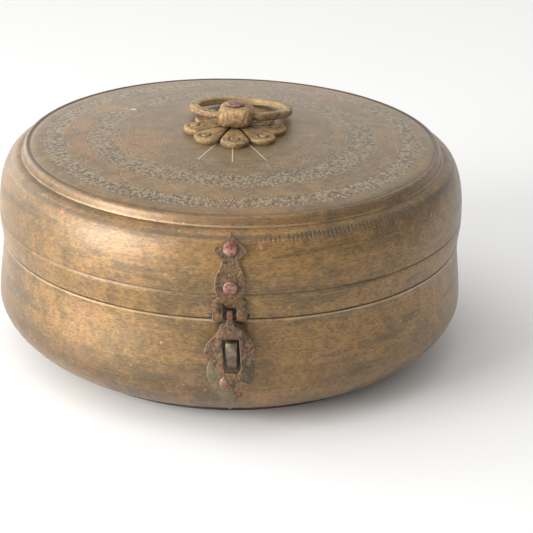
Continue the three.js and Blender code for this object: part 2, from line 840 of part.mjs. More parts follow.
// The six outer cups and the middle one fill the circle inside the collar. Their sides follow the
// bowl's lower curve, so they stand close to it.
const cupCircle = collarInner - cupRoom;
const cupRadius = (cupCircle - cupGap) / 3;
const cupSpacing = 2 * cupRadius + cupGap;
const cupFloor = floorUnderside + sheet + gap;
const cupCurve = [0, 1, 3.5, 8, 15].map((height) => {
  const room = wallAt(bowlInside, cupFloor + height).radius - cupSpacing - cupSideRoom;
  return point(Math.min(room, cupRadius), height);
});
const cupOutside = [point(0, 0), ...cupCurve, point(cupRadius, cupHeight)];
const cupInside = offset(cupOutside, -cupSheet);
cupInside.at(-1).y = cupHeight;
const cupGeometry = turned([...cupOutside, ...cupInside.toReversed()], cupFacets);

function addCup(name, x, y) {
  add(name, cupGeometry.clone(), innerBrass).position.set(x, y, cupFloor);
}
addCup("spice_cup_1", 0, 0);
for (let i = 0; i < 6; i++) {
  const angle = (Math.PI / 3) * i;
  addCup("spice_cup_" + (i + 2), cupSpacing * Math.cos(angle), cupSpacing * Math.sin(angle));
}

export default box;
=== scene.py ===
import math

import bmesh
import bpy
from mathutils import Matrix, Vector, noise


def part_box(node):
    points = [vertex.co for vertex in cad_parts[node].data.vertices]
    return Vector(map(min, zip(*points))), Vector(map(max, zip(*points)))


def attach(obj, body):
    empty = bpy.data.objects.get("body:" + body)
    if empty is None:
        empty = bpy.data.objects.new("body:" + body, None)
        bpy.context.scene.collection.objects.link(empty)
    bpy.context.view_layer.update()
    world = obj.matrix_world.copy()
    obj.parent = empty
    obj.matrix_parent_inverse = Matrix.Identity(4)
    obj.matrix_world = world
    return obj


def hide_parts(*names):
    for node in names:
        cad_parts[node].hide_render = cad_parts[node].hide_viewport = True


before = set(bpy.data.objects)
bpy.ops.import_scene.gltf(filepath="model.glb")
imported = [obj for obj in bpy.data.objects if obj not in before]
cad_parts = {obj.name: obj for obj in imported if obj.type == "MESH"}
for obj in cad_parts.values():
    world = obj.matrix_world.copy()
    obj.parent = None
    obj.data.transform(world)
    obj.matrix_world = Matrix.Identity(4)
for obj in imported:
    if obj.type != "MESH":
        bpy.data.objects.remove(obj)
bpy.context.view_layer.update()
scene = bpy.context.scene
MM = 0.001

# ---- Camera, floor and studio light ----
# A long lens looks down on the front of the box from 22 degrees. The floor is a pale sweep; a wide
# soft box stands on the left and the room fills the rest.
seam_centre = Vector((0, 0, 63 * MM))
camera_distance = 0.98
look_down = math.radians(22)
camera_data = bpy.data.cameras.new("camera")
camera_data.sensor_width = 36
camera_data.lens = 121.6
camera = bpy.data.objects.new("camera", camera_data)
back = Vector((0, -math.cos(look_down), math.sin(look_down)))
camera.location = seam_centre + camera_distance * back
roll = Matrix.Rotation(math.radians(0.98), 3, "Z")
aside = Matrix.Rotation(math.radians(-1.12), 3, "Y")
below = Matrix.Rotation(math.radians(-1.36), 3, "X")
upright = Matrix.Rotation(math.pi / 2 - look_down, 3, "X")
camera.rotation_euler = (upright @ roll @ aside @ below).to_euler()
scene.collection.objects.link(camera)
scene.camera = camera
scene.view_settings.view_transform = "Standard"

floor_mesh = bpy.data.meshes.new("floor")
reach = 4.0
floor_corners = [(-reach, -reach, 0), (reach, -reach, 0), (reach, reach, 0), (-reach, reach, 0)]
floor_mesh.from_pydata(floor_corners, [], [(0, 1, 2, 3)])
floor = bpy.data.objects.new("floor", floor_mesh)
scene.collection.objects.link(floor)
floor_paint = bpy.data.materials.new("floor paper")
floor_paint.use_nodes = True
floor_shader = floor_paint.node_tree.nodes["Principled BSDF"]
floor_shader.inputs["Base Color"].default_value = (0.8, 0.8, 0.8, 1)
floor_shader.inputs["Roughness"].default_value = 0.9
floor_shader.inputs["Specular IOR Level"].default_value = 0.1
floor_mesh.materials.append(floor_paint)


class Shade:
    """A socket in a finish's nodes, so that sums of them are written as sums."""

    def __init__(self, tree, socket=None):
        self.tree = tree
        self.socket = socket

    def node(self, kind, settings, inputs, output=0):
        made = self.tree.nodes.new("ShaderNode" + kind)
        for name, setting in settings.items():
            setattr(made, name, setting)
        for name, value in inputs.items():
            if isinstance(value, Shade):
                self.tree.links.new(value.socket, made.inputs[name])
            else:
                made.inputs[name].default_value = value
        return Shade(self.tree, made.outputs[output])

    def math(self, operation, *values):
        return self.node("Math", {"operation": operation}, dict(enumerate(values)))

    def __add__(self, other):
        return self.math("ADD", self, other)

    def __radd__(self, other):
        return self.math("ADD", other, self)

    def __sub__(self, other):
        return self.math("SUBTRACT", self, other)

    def __rsub__(self, other):
        return self.math("SUBTRACT", other, self)

    def __mul__(self, other):
        return self.math("MULTIPLY", self, other)

    def __truediv__(self, other):
        return self.math("DIVIDE", self, other)

    def __pow__(self, other):
        return self.math("POWER", self, other)

    def __abs__(self):
        return self.math("ABSOLUTE", self)

    def fract(self):
        return self.math("FRACT", self)

    def rises(self, low, high):
        """0 below low, 1 above high, smooth between."""
        limits = {"Value": self, "From Min": low, "From Max": high}
        return self.node("MapRange", {"interpolation_type": "SMOOTHSTEP"}, limits)

    def falls(self, low, high):
        return 1 - self.rises(low, high)

    def tint(self, without, over):
        """The colour without where this is 0, and over where it is 1."""
        colours = {0: self, 6: without, 7: over}
        return self.node("Mix", {"data_type": "RGBA"}, colours, 2)

    def parts(self):
        """The x, y and z of a place or a direction."""
        return [self.node("SeparateXYZ", {}, {"Vector": self}, i) for i in range(3)]

    def under(self, *coats):
        """This colour under coats of others, each as (where it is 0 to 1, how thick, its colour)."""
        skin = self
        for where, share, paint in coats:
            skin = (where * share).tint(skin, (*paint, 1))
        return skin

    def point(self, x, y, z):
        return self.node("CombineXYZ", {}, {0: x, 1: y, 2: z})

    def cloud(self, scale, detail, roughness=0.55):
        """Noise from 0 to 1 round this place."""
        settings = {"Vector": self, "Scale": scale, "Detail": detail, "Roughness": roughness}
        return self.node("TexNoise", {}, settings)


# The room is bright overhead, on the left and low behind the box, and dim in front.
world = bpy.data.worlds.new("room")
world.use_nodes = True
way = Shade(world.node_tree).node("TexCoord", {}, {}, "Generated")
east, north, up = way.parts()
window_side = (north * 0.35 - east * 0.94).rises(0.4, 0.95)
far_side = (north - up * 1.2).rises(0.2, 0.9)
room_light = 0.36 + up.rises(0.1, 0.75) * 0.38 + window_side * 2.0 + far_side * 0.8
backdrop = world.node_tree.nodes["Background"]
backdrop.inputs["Color"].default_value = (1.0, 0.995, 0.985, 1)
world.node_tree.links.new(room_light.socket, backdrop.inputs["Strength"])
scene.world = world


def soft_box(name, place, towards, width, height, watts):
    data = bpy.data.lights.new(name, "AREA")
    data.shape = "RECTANGLE"
    data.size = width
    data.size_y = height
    data.energy = watts
    light = bpy.data.objects.new(name, data)
    light.location = place
    light.rotation_euler = (Vector(towards) - Vector(place)).to_track_quat("-Z", "Y").to_euler()
    scene.collection.objects.link(light)


soft_box("window left", (-1.12, -0.74, 0.42), (0, 0, 0.06), 0.8, 0.9, 27)
soft_box("overhead", (-0.35, -0.3, 1.7), (0, 0, 0.05), 1.3, 1.1, 5)


# ---- Bowl ----
# The lower half of the box: a raised and turned brass bowl with an upright wall and a full belly.
# Old polish and grime give it a mottled olive and golden skin with turning lines round it.
def colour(red, green, blue):
    return (red, green, blue, 1)


def begin_finish(name, metallic):
    """A new finish: its material, its shader, and its first shade, the place on the piece."""
    material = bpy.data.materials.new(name)
    material.use_nodes = True
    shader = material.node_tree.nodes["Principled BSDF"]
    shader.inputs["Metallic"].default_value = metallic
    place = Shade(material.node_tree).node("TexCoord", {}, {}, "Object")
    return material, shader, place


def end_finish(shader, colours, roughness, height, depth):
    """Joins the colour, the roughness and the bump height (0 to 1, depth in metres) to the shader."""
    tree = height.tree
    bump = height.node("Bump", {}, {"Height": height, "Distance": depth, "Strength": 1.0})
    tree.links.new(colours.socket, shader.inputs["Base Color"])
    tree.links.new(roughness.socket, shader.inputs["Roughness"])
    tree.links.new(bump.socket, shader.inputs["Normal"])


def above_the_disc(z, rho):
    """1 on the upper face of the lid's domed disc, whose middle is 116.3 mm up, and 0 under it."""
    return (z + rho * rho * 0.449).rises(0.1151, 0.1159)


def no_engraving(place, x, y, z, rho):
    """Plain metal: nothing cut, and nothing cut bright."""
    return rho * 0, rho * 0


def aged_brass(name, creases, engraving=no_engraving, disc=False, painted_shadows=()):
    """Old turned brass. Creases are places (height less radius) with a line of colour along them: dirt and
    patina in some, painted shade and painted highlights in others. Painted shadows are patches of painted
    shade.
    """
    material, shader, place = begin_finish(name, 0.6)
    shader.inputs["Coat Weight"].default_value = 0.8
    shader.inputs["Coat Roughness"].default_value = 0.38
    x, y, z = place.parts()
    rho = (x * x + y * y + 1e-8) ** 0.5
    along = z - rho
    east = x / rho
    north = y / rho
    fine_lines = place.point(east * 3.2, north * 3.2, along * 950).cloud(1, 3, 0.65)
    broad_lines = place.point(east * 2.6, north * 2.6, along * 150).cloud(1, 4, 0.6)
    grain = place.point(east * 55, north * 55, along * 1100).cloud(1, 4, 0.75)
    clouds = place.cloud(13, 5)
    patches = place.cloud(34, 6, 0.62)
    mottle = place.cloud(130, 7, 0.7)
    skin = clouds.rises(0.36, 0.62).tint(colour(0.158, 0.088, 0.025), colour(0.281, 0.149, 0.042))
    skin = skin.under(
        (patches.rises(0.5, 0.66), 0.6, (0.308, 0.157, 0.063)),
        (patches.falls(0.35, 0.48), 0.55, (0.107, 0.066, 0.023)),
        (mottle.falls(0.38, 0.5), 0.5, (0.094, 0.056, 0.018)),
        (mottle.rises(0.52, 0.64), 0.45, (0.375, 0.217, 0.058)),
        (broad_lines.falls(0.35, 0.46), 0.65, (0.087, 0.058, 0.023)),
        (fine_lines.rises(0.52, 0.66), 0.28, (0.375, 0.235, 0.079)),
        (grain.falls(0.38, 0.5), 0.65, (0.067, 0.042, 0.016)),
        (grain.rises(0.53, 0.66), 0.4, (0.402, 0.253, 0.083)),
    )
    # The upper face of the disc is painted greyer and less saturated than the rest of the lid: a painted
    # reflection of the room it faces.
    if disc:
        disc_patchiness = (patches * 0.4 + broad_lines * 0.3 + fine_lines * 0.3).rises(0.38, 0.62)
        grey = disc_patchiness.tint(colour(0.162, 0.099, 0.04), colour(0.261, 0.156, 0.06))
        grey = grey.under(
            (patches.rises(0.54, 0.66), 0.4, (0.333, 0.175, 0.051)),
            (clouds.falls(0.36, 0.48), 0.3, (0.18, 0.145, 0.082)),
            (clouds.rises(0.52, 0.62), 0.6, (0.313, 0.145, 0.045)),
            (mottle.falls(0.38, 0.48), 0.5, (0.095, 0.059, 0.025)),
            (mottle.rises(0.53, 0.64), 0.4, (0.361, 0.233, 0.093)),
            (grain.rises(0.5, 0.64), 0.3, (0.4, 0.272, 0.124)),
        )
        skin = (rho.falls(0.1065, 0.1085) * 0.92 * above_the_disc(z, rho)).tint(skin, grey)
    flecks = place.cloud(115, 2).rises(0.71, 0.735)
    nicks = place.point(x * 330, y * 330, z * 1100).cloud(1, 2).rises(0.74, 0.78)
    skin = skin.under((flecks, 0.75, (0.47, 0.19, 0.075)), (nicks, 0.5, (0.72, 0.55, 0.3)))
    # Each crease paints a line in its tone: dirt in some, painted shade and painted highlights in others.
    for middle, width, strength, tone in creases:
        line = abs(along - middle + (mottle - 0.5) * width * 0.8)
        grime_and_painted_light = line.falls(width * 0.3, width) * strength * (patches.rises(0.3, 0.62) * 1.1 + 0.25)
        skin = grime_and_painted_light.tint(skin, tone)
    # Painted shadows: dark patches of painted shade, each at (x, z) with a size and a strength, on the
    # front only.
    for (shadow_x, shadow_z), (wide, tall), strength in painted_shadows:
        away = (((x - shadow_x) * (1 / wide)) ** 2 + ((z - shadow_z) * (1 / tall)) ** 2) ** 0.5
        painted_shadow = away.falls(0.55, 1.1) * y.falls(-0.1, -0.05) * strength
        skin = painted_shadow.tint(skin, colour(0.03, 0.021, 0.014))
    # Bright cuts carry the bright engraved lines and a painted highlight, a dent's glint.
    cuts, bright_cuts_and_glint = engraving(place, x, y, z, rho)
    chalk = cuts * place.cloud(520, 2).rises(0.42, 0.56) * rho.falls(0.104, 0.108)
    skin = skin.under(
        (cuts, 0.7, (0.05, 0.034, 0.019)),
        (chalk, 0.62, (0.5, 0.4, 0.25)),
        (bright_cuts_and_glint, 0.8, (0.72, 0.66, 0.52)),
    )
    roughness = 0.4 + patches * 0.16 + mottle * 0.12 + chalk * 0.2
    turning = fine_lines * 0.22 + broad_lines * 0.24 + grain * 0.22
    height = turning + mottle * 0.4 + patches * 0.35 - cuts * 0.8
    end_finish(shader, skin, roughness, height, 0.0005)
    return material


def make_piece(name, mesh, material, body, nodes, crease=38, place=Matrix.Identity(4)):
    """One piece of the box: smooth-shaded, in its finish, riding on its body, for its CAD nodes."""
    mesh.shade_smooth()
    mesh.set_sharp_from_angle(angle=math.radians(crease))
    mesh.materials.append(material)
    piece = bpy.data.objects.new(name, mesh)
    scene.collection.objects.link(piece)
    piece.matrix_world = place
    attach(piece, body)
    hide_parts(*nodes)


def tube_faces(rings, around):
    """Faces between rings of corners listed one after another, and over the first and last ring."""
    faces = []
    for low in range(0, (rings - 1) * around, around):
        for i in range(around):
            j = (i + 1) % around
            faces.append((low + i, low + j, low + around + j, low + around + i))
    return faces + [tuple(range(around)), tuple(range((rings - 1) * around, rings * around))]


def finished_mesh(name, corners, faces, rim=None):
    """A mesh from its corners and faces. Rim is how much each corner is rubbed pale by wear, or below 0 how
    dark it is: dirt in hollows, and painted shade at the rosette's foot.
    """
    mesh = bpy.data.meshes.new(name)
    mesh.from_pydata(corners, [], faces)
    shaper = bmesh.new()
    shaper.from_mesh(mesh)
    bmesh.ops.recalc_face_normals(shaper, faces=shaper.faces)
    shaper.to_mesh(mesh)
    shaper.free()
    if rim:
        mesh.attributes.new("rim", "FLOAT", "POINT").data.foreach_set("value", rim)
    return mesh


def turned(name, profile, facets, closed=False, unevenness=0.0, place=Matrix.Identity(4)):
    """A profile of (radius, height) in mm turned round Z, a little uneven as hand work is."""
    corners, rings, faces = [], [], []
    for radius, height in profile:
        if radius < 1e-6:
            rings.append([len(corners)] * facets)
            corners.append(place @ Vector((0, 0, height * MM)))
            continue
        rings.append(list(range(len(corners), len(corners) + facets)))
        for i in range(facets):
            angle = 2 * math.pi * i / facets
            way = Vector((math.sin(angle), -math.cos(angle), 0))
            point = way * radius * MM + Vector((0, 0, height * MM))
            push = noise.noise(point * 14) + 0.4 * noise.noise(point * 45)
            point += way * push * unevenness * MM
            corners.append(place @ point)
    pairs = list(zip(rings, rings[1:]))
    if closed:
        pairs.append((rings[-1], rings[0]))
    for low, high in pairs:
        for i in range(facets):
            j = (i + 1) % facets
            face = [low[i], low[j], high[j], high[i]]
            face = [corner for k, corner in enumerate(face) if corner not in face[:k]]
            if len(face) > 2:
                faces.append(face)
    return finished_mesh(name, corners, faces)


def between(a, b, share):
    return a + (b - a) * share


def quarter(upright, level, exponent, steps):
    """A quarter superellipse from an upright end to a level end."""
    power = 2 / exponent
    points = []
    for i in range(steps + 1):
        angle = math.pi / 2 * i / steps
        inward = 1 - max(math.cos(angle), 0) ** power
        rise = math.sin(angle) ** power
        points.append((between(upright[0], level[0], inward), between(upright[1], level[1], rise)))
    return points


def inset(profile, distance):
    """The profile moved to the left of its direction of travel."""
    moved = []
    for i, (radius, height) in enumerate(profile):
        before = profile[max(i - 1, 0)]
        after = profile[min(i + 1, len(profile) - 1)]
        along = Vector((after[0] - before[0], after[1] - before[1])).normalized()
        inner = 0 if radius == 0 else max(radius - along.y * distance, 0)
        moved.append((inner, height + along.x * distance))
    return moved


gap = 0.3
sheet = 1.6
seam_radius = 122.5
seam_height = 63.0
bowl_belly = (125.3, 28.8)
bowl_floor = (95.4, 2.9)
bowl_rim = seam_height - gap / 2


def bowl_upper(share):
    ease = share * share * (3 - 2 * share)
    return (bowl_belly[0] - (bowl_belly[0] - seam_radius) * ease, between(bowl_belly[1], bowl_rim, share))


bowl_wall = list(reversed(quarter(bowl_belly, bowl_floor, 1.6, 30)))
bowl_wall += [bowl_upper((i + 1) / 16) for i in range(16)]
bowl_lip = [(seam_radius + out, bowl_rim - drop) for out, drop in ((0.25, 0.9), (0.2, 0.3), (-0.1, 0))]
bowl_outside = [(0, bowl_floor[1])] + [(r, bowl_floor[1]) for r in (30, 60, 85)] + bowl_wall[:-1] + bowl_lip
bowl_inside = [(r, min(z, bowl_rim)) for r, z in inset(bowl_outside, sheet)]
bowl_inside[-1] = (seam_radius - sheet, bowl_rim)
# Crease tones: a dark one for dirt and for painted shade, and a pale one for a painted highlight.
grime_and_painted_light = colour(0.055, 0.04, 0.026)
painted_lip_highlight = colour(0.7, 0.58, 0.4)
# Bowl creases: a painted highlight along the lip under the seam, and painted shade low on the belly, under
# its bulge, down to the foot.
bowl_creases = [(-60.6 * MM, 0.7 * MM, 0.28, painted_lip_highlight), (-93 * MM, 9 * MM, 0.22, grime_and_painted_light)]
# Painted shade on the bowl behind the hasp plate and flap, under the flap's top and round the staple.
painted_shade_behind_hasp = [((0.0, 0.0605), (0.0075, 0.0045), 0.75), ((0.001, 0.048), (0.0075, 0.0105), 0.9)]
bowl_brass = aged_brass("bowl brass", bowl_creases, painted_shadows=painted_shade_behind_hasp)
bowl_mesh = turned("bowl", bowl_outside + bowl_inside[::-1], 224, unevenness=0.16)
make_piece("bowl", bowl_mesh, bowl_brass, "base", ["base_bowl"])


# ---- Foot ring ----
# A flat brass ring soldered under the bowl, so the box stands level. It is painted nearly black, as painted
# shade under the bowl's belly.
foot_brass = aged_brass("foot brass", [(-96 * MM, 9 * MM, 0.85, grime_and_painted_light)])
foot_profile = [(93.4, 0.3), (93.7, 0), (97.0, 0), (97.4, 0.3), (97.5, 2.3), (97.3, 2.6), (93.4, 2.6)]
foot_mesh = turned("foot_ring", foot_profile, 160, closed=True, unevenness=0.1)
make_piece("foot_ring", foot_mesh, foot_brass, "base", ["base_foot_ring"])


# ---- Collar ----
# A thin brass lip inside the bowl's mouth that the lid drops over. Cleaner than the outside, with
# fine turning lines and a worn bright edge.
def inner_brass(name, scale):
    """Brass that is handled less: golden, turned, with brown spots. Scale sizes its spots."""
    material, shader, place = begin_finish(name, 0.85)
    x, y, z = place.parts()
    rho = (x * x + y * y + 1e-8) ** 0.5
    lines = place.point(x / rho * 1.4, y / rho * 1.4, (z - rho) * 1300).cloud(1, 3, 0.6)
    clouds = place.cloud(26 * scale, 5)
    spots = place.cloud(120 * scale, 6, 0.7)
    skin = clouds.rises(0.38, 0.62).tint(colour(0.323, 0.208, 0.081), colour(0.476, 0.327, 0.14))
    skin = skin.under(
        (lines.rises(0.5, 0.62), 0.45, (0.561, 0.408, 0.196)),
        (spots.falls(0.36, 0.48), 0.6, (0.17, 0.106, 0.047)),
    )
    roughness = 0.3 + clouds * 0.16 + spots * 0.1
    end_finish(shader, skin, roughness, lines * 0.5 + spots * 0.4, 0.0002)
    return material


collar_profile = [
    (119.5, 57.2), (120.4, 57.0), (120.3, 60), (120.3, 70.4), (120.0, 71.0), (119.3, 71.0), (118.9, 70.6),
    (118.9, 60),
]
collar_mesh = turned("collar", collar_profile, 192, closed=True, unevenness=0.08)
make_piece("collar", collar_mesh, inner_brass("collar brass", 1), "base", ["base_collar"])


# ---- Lid ----
# A raised brass lid: upright wall, round shoulder, a rolled step, and a low domed disc that is
# punched and engraved in rings round the handle. White polish has dried in the cuts.
lid_rim = (seam_radius, seam_height + gap / 2)
lid_belly = (124.0, 75.6)
step_foot = (111.6, 106.2)
disc_edge = (108.6, 111.0)
dome_rise = 5.3
scribed_line = 76.5


def disc_height(radius):
    return disc_edge[1] + dome_rise * (1 - (radius / disc_edge[0]) ** 2)


lid_wall = [(seam_radius + out, lid_rim[1] + rise) for out, rise in ((-0.1, 0), (0.15, 0.25), (0.2, 1))]
for share in (0.2, 0.35, 0.5, 0.65, 0.8, 0.92):
    swell = math.sin(math.pi / 2 * share)
    lid_wall.append((between(seam_radius, lid_belly[0], swell), between(lid_rim[1], lid_belly[1], share)))
scribed_cut = ((0, -0.45), (0.28, 0), (0.02, 0.45))
lid_wall += [(lid_belly[0] - cut, scribed_line + rise) for cut, rise in scribed_cut]
shoulder = [point for point in quarter(lid_belly, step_foot, 2.4, 44) if point[1] > scribed_line + 1]
roll = [
    (111.75, 106.25), (111.45, 106.75), (111.3, 107.3), (111.15, 108.4), (110.85, 109.5), (110.25, 110.5),
    (109.4, 111.1),
]
crease = [(108.6, 111.15), (108.1, 110.85), (107.5, 110.75), (106.9, 110.95), (106.3, disc_height(106.3))]
disc = [(radius, disc_height(radius)) for radius in range(104, 0, -4)]
lid_outside = lid_wall + shoulder[:-1] + roll + crease + disc + [(0, disc_height(0))]
smooth_wall = lid_wall[:9] + [lid_belly] + shoulder[:-2]
smooth_disc = [(111.0, 108.2), (109.9, 110.2), (107.4, disc_height(107.4))] + disc + [(0, disc_height(0))]
lid_inside = inset(smooth_wall + smooth_disc, sheet)
lid_inside[0] = (seam_radius - sheet, lid_rim[1])
lid_inside[-1] = (0, disc_height(0) - sheet)


def punched_rings(place, x, y, z, rho):
    """The engraving on the disc, from the rosette outwards, the bright lines among it, and a painted
    highlight: the glint of a small dent at the back left.
    """
    turn = place.math("ARCTAN2", x, 0 - y) / (2 * math.pi)
    waver = (place.cloud(60, 2) - 0.5) * 0.0022
    radius = rho + waver * 0.4

    def stroke(distance, half_width):
        return abs(distance).falls(half_width * 0.5, half_width)

    def within(low, high):
        return rho.rises(low - 0.0004, low) * rho.falls(high, high + 0.0004)

    def zigzag(start, height, teeth, half_width):
        wave = abs((turn * teeth).fract() - 0.5) * 2
        return stroke(radius - start - wave * height, half_width)

    def across(count, shift=0.0):
        """Distance round the disc from the nearest of some evenly spaced radii."""
        return ((turn * count + 0.5 + shift).fract() - 0.5) * rho * (2 * math.pi / count)

    in_front = (0 - y).rises(0.018, 0.024) * (abs(x) / rho).falls(0.42, 0.5)
    rays = stroke(across(16), 0.00036) * within(0.02, 0.0455) * in_front
    spray = across(16)
    cells = (((turn * 208).fract() - 0.5) * 1.6) ** 2 + ((rho * 600).fract() - 0.5) ** 2
    dots = cells.falls(0.05, 0.12) * within(0.0505, 0.0575) * abs(spray).falls(0.0052, 0.006)
    whorl_x = across(8, 0.5)
    whorl = ((whorl_x * whorl_x) + (rho - 0.0475) ** 2) ** 0.5
    whorls = abs((whorl * 520).fract() - 0.5).falls(0.12, 0.24)
    whorls *= whorl.falls(0.0095, 0.0105) * whorl.rises(0.002, 0.003)
    lines = stroke(radius - 0.0605, 0.0004) + stroke(radius - 0.0622, 0.0004)
    lines += stroke(radius - 0.0772, 0.0004)
    chevrons = zigzag(0.0637, 0.0055, 190, 0.002) + zigzag(0.0702, 0.0055, 190, 0.002)
    petals = abs((turn * 16).fract() - 0.5) * 2
    leaves = stroke(radius - 0.0795 - (1 - petals ** 2) * 0.0085, 0.0006) * 0.5
    teeth = zigzag(0.0905, 0.0046, 160, 0.0014) + zigzag(0.0951, -0.0046, 160, 0.0014)
    teeth += zigzag(0.0962, 0.004, 160, 0.0014)
    broken = place.cloud(210, 2).rises(0.28, 0.4)
    gone = place.cloud(21, 3).rises(0.26, 0.42)
    bands = (chevrons + teeth + dots) * broken * (0.45 + gone * 0.55)
    bands += (whorls * 0.3 + leaves) * gone * broken
    bands += within(0.0632, 0.0765) * gone * 0.22 + within(0.09, 0.1005) * gone * 0.18
    # A painted highlight: the glint of a small dent at the disc's back left.
    dent_glint = (x + 0.055) ** 2 + (y - 0.0396) ** 2
    upper = above_the_disc(z, rho)
    drawn = (lines * (0.3 + gone * 0.5) + bands * 1.2) * rho.falls(0.106, 0.107) * upper
    tick = abs((turn * 330).fract() - 0.5).falls(0.14, 0.24)
    row = z.rises(0.1012, 0.1016) * z.falls(0.1042, 0.1048) * rho.rises(0.1125, 0.113)
    sector = x.rises(0.012, 0.018) * (0 - y).rises(0.02, 0.04)
    ticks = tick * row * sector * place.cloud(330, 2).rises(0.42, 0.52)
    drawn = drawn + ticks * 0.9
    bright = (rays + dent_glint.falls(0.0000015, 0.000004) * 0.8) * upper
    return drawn.math("MINIMUM", drawn, 1.0), bright.math("MINIMUM", bright, 1.0)


# Pale: the tone of the painted highlight along the step's foot.
pale = colour(0.62, 0.56, 0.44)
rust = colour(0.2, 0.11, 0.05)
lid_creases = [
    # Painted shade along the lid's rim at the seam.
    (-59.4 * MM, 0.7 * MM, 0.65, grime_and_painted_light),
    # Dirt in the scribed line.
    ((scribed_line - 124) * MM, 0.6 * MM, 0.7, grime_and_painted_light),
    # A darker brown band on the shoulder, just below the step.
    (-14.5 * MM, 2.4 * MM, 0.45, grime_and_painted_light),
    (-1.4 * MM, 3.0 * MM, 0.5, rust),
    # A painted highlight along the step's foot, for the bright line the ridge catches.
    (-5.3 * MM, 1.1 * MM, 0.2, pale),
    # Painted shade in the crease at the disc's edge.
    (2.9 * MM, 1.2 * MM, 0.7, grime_and_painted_light),
    # Painted shade on the disc round the rosette's foot.
    (93 * MM, 6 * MM, 0.5, grime_and_painted_light),
]
# Painted shade, with some dark residue, on the lid between the strap's prongs.
shade_and_residue_in_fork = [((0.0, 0.0695), (0.0062, 0.0062), 0.95)]
lid_brass = aged_brass("lid brass", lid_creases, punched_rings, disc=True, painted_shadows=shade_and_residue_in_fork)
lid_mesh = turned("lid", lid_inside[::-1] + lid_outside, 224, unevenness=0.27)
make_piece("lid", lid_mesh, lid_brass, "lid", ["lid_shell"])


# ---- Hasp strap ----
# A strap sawn and filed from thick brass sheet and bent to the lid: a barbed point, a waist and a
# forked foot whose two knuckles hold the pin. Brown-grey patina, bright filed edges.
def strap_bronze(name, golden, ruddy):
    """Filed sheet brass under a rough grey-brown patina. Golden and ruddy warm it from 0 to 1."""
    material, shader, place = begin_finish(name, 0.55)
    grain = place.cloud(620, 5, 0.8)
    clouds = place.cloud(110, 5, 0.6)
    pits = place.node("TexVoronoi", {}, {"Vector": place, "Scale": 620.0})
    skin = clouds.rises(0.36, 0.62).tint(colour(0.078, 0.048, 0.029), colour(0.156, 0.096, 0.057))
    skin = skin.under(
        (place.cloud(170, 3).rises(0.45, 0.62), golden, (0.26, 0.144, 0.046)),
        (place.cloud(140, 4).rises(0.5, 0.62), ruddy, (0.239, 0.082, 0.036)),
        (grain.rises(0.5, 0.62), 0.6, (0.26, 0.19, 0.12)),
        (grain.falls(0.38, 0.48), 0.6, (0.04, 0.026, 0.017)),
        (pits.falls(0.12, 0.3), 0.55, (0.036, 0.024, 0.017)),
    )
    rim = place.node("Attribute", {"attribute_name": "rim"}, {}, 2)
    skin = (rim.rises(0.35, 0.9) * 0.75).tint(skin, colour(0.322, 0.23, 0.139))
    roughness = 0.52 + clouds * 0.2 - rim * 0.2
    height = grain * 0.9 + pits * 0.5 + clouds * 0.6
    end_finish(shader, skin, roughness, height, 0.0007)
    return material


def through(knots, steps):
    """A smooth curve through knots, each a tuple of numbers."""
    ends = [knots[0]] + list(knots) + [knots[-1]]
    curve = []

    def blend(p, q, r, s, t):
        bent = (2 * p - 5 * q + 4 * r - s) * t * t
        return 0.5 * (2 * q + (r - p) * t + bent + (3 * q - p - 3 * r + s) * t ** 3)

    for knot in zip(ends, ends[1:], ends[2:], ends[3:]):
        for i in range(steps):
            curve.append(tuple(blend(*four, i / steps) for four in zip(*knot)))
    return curve + [tuple(knots[-1])]


def on_wall(profile):
    """Lays (across, height, proud) in mm on a turned wall: proud of its face, going round it."""
    heights = [height for radius, height in profile]

    def place(across, height, proud):
        i = next((k for k in range(1, len(profile)) if heights[k] >= height), len(profile) - 1)
        (r0, z0), (r1, z1) = profile[i - 1], profile[i]
        share = (height - z0) / (z1 - z0)
        out = Vector((z1 - z0, 0, r0 - r1)).normalized()
        radius = between(r0, r1, share) + proud * out.x
        angle = across / radius
        return Vector((radius * math.sin(angle), -radius * math.cos(angle), height + proud * out.z)) * MM

    return place


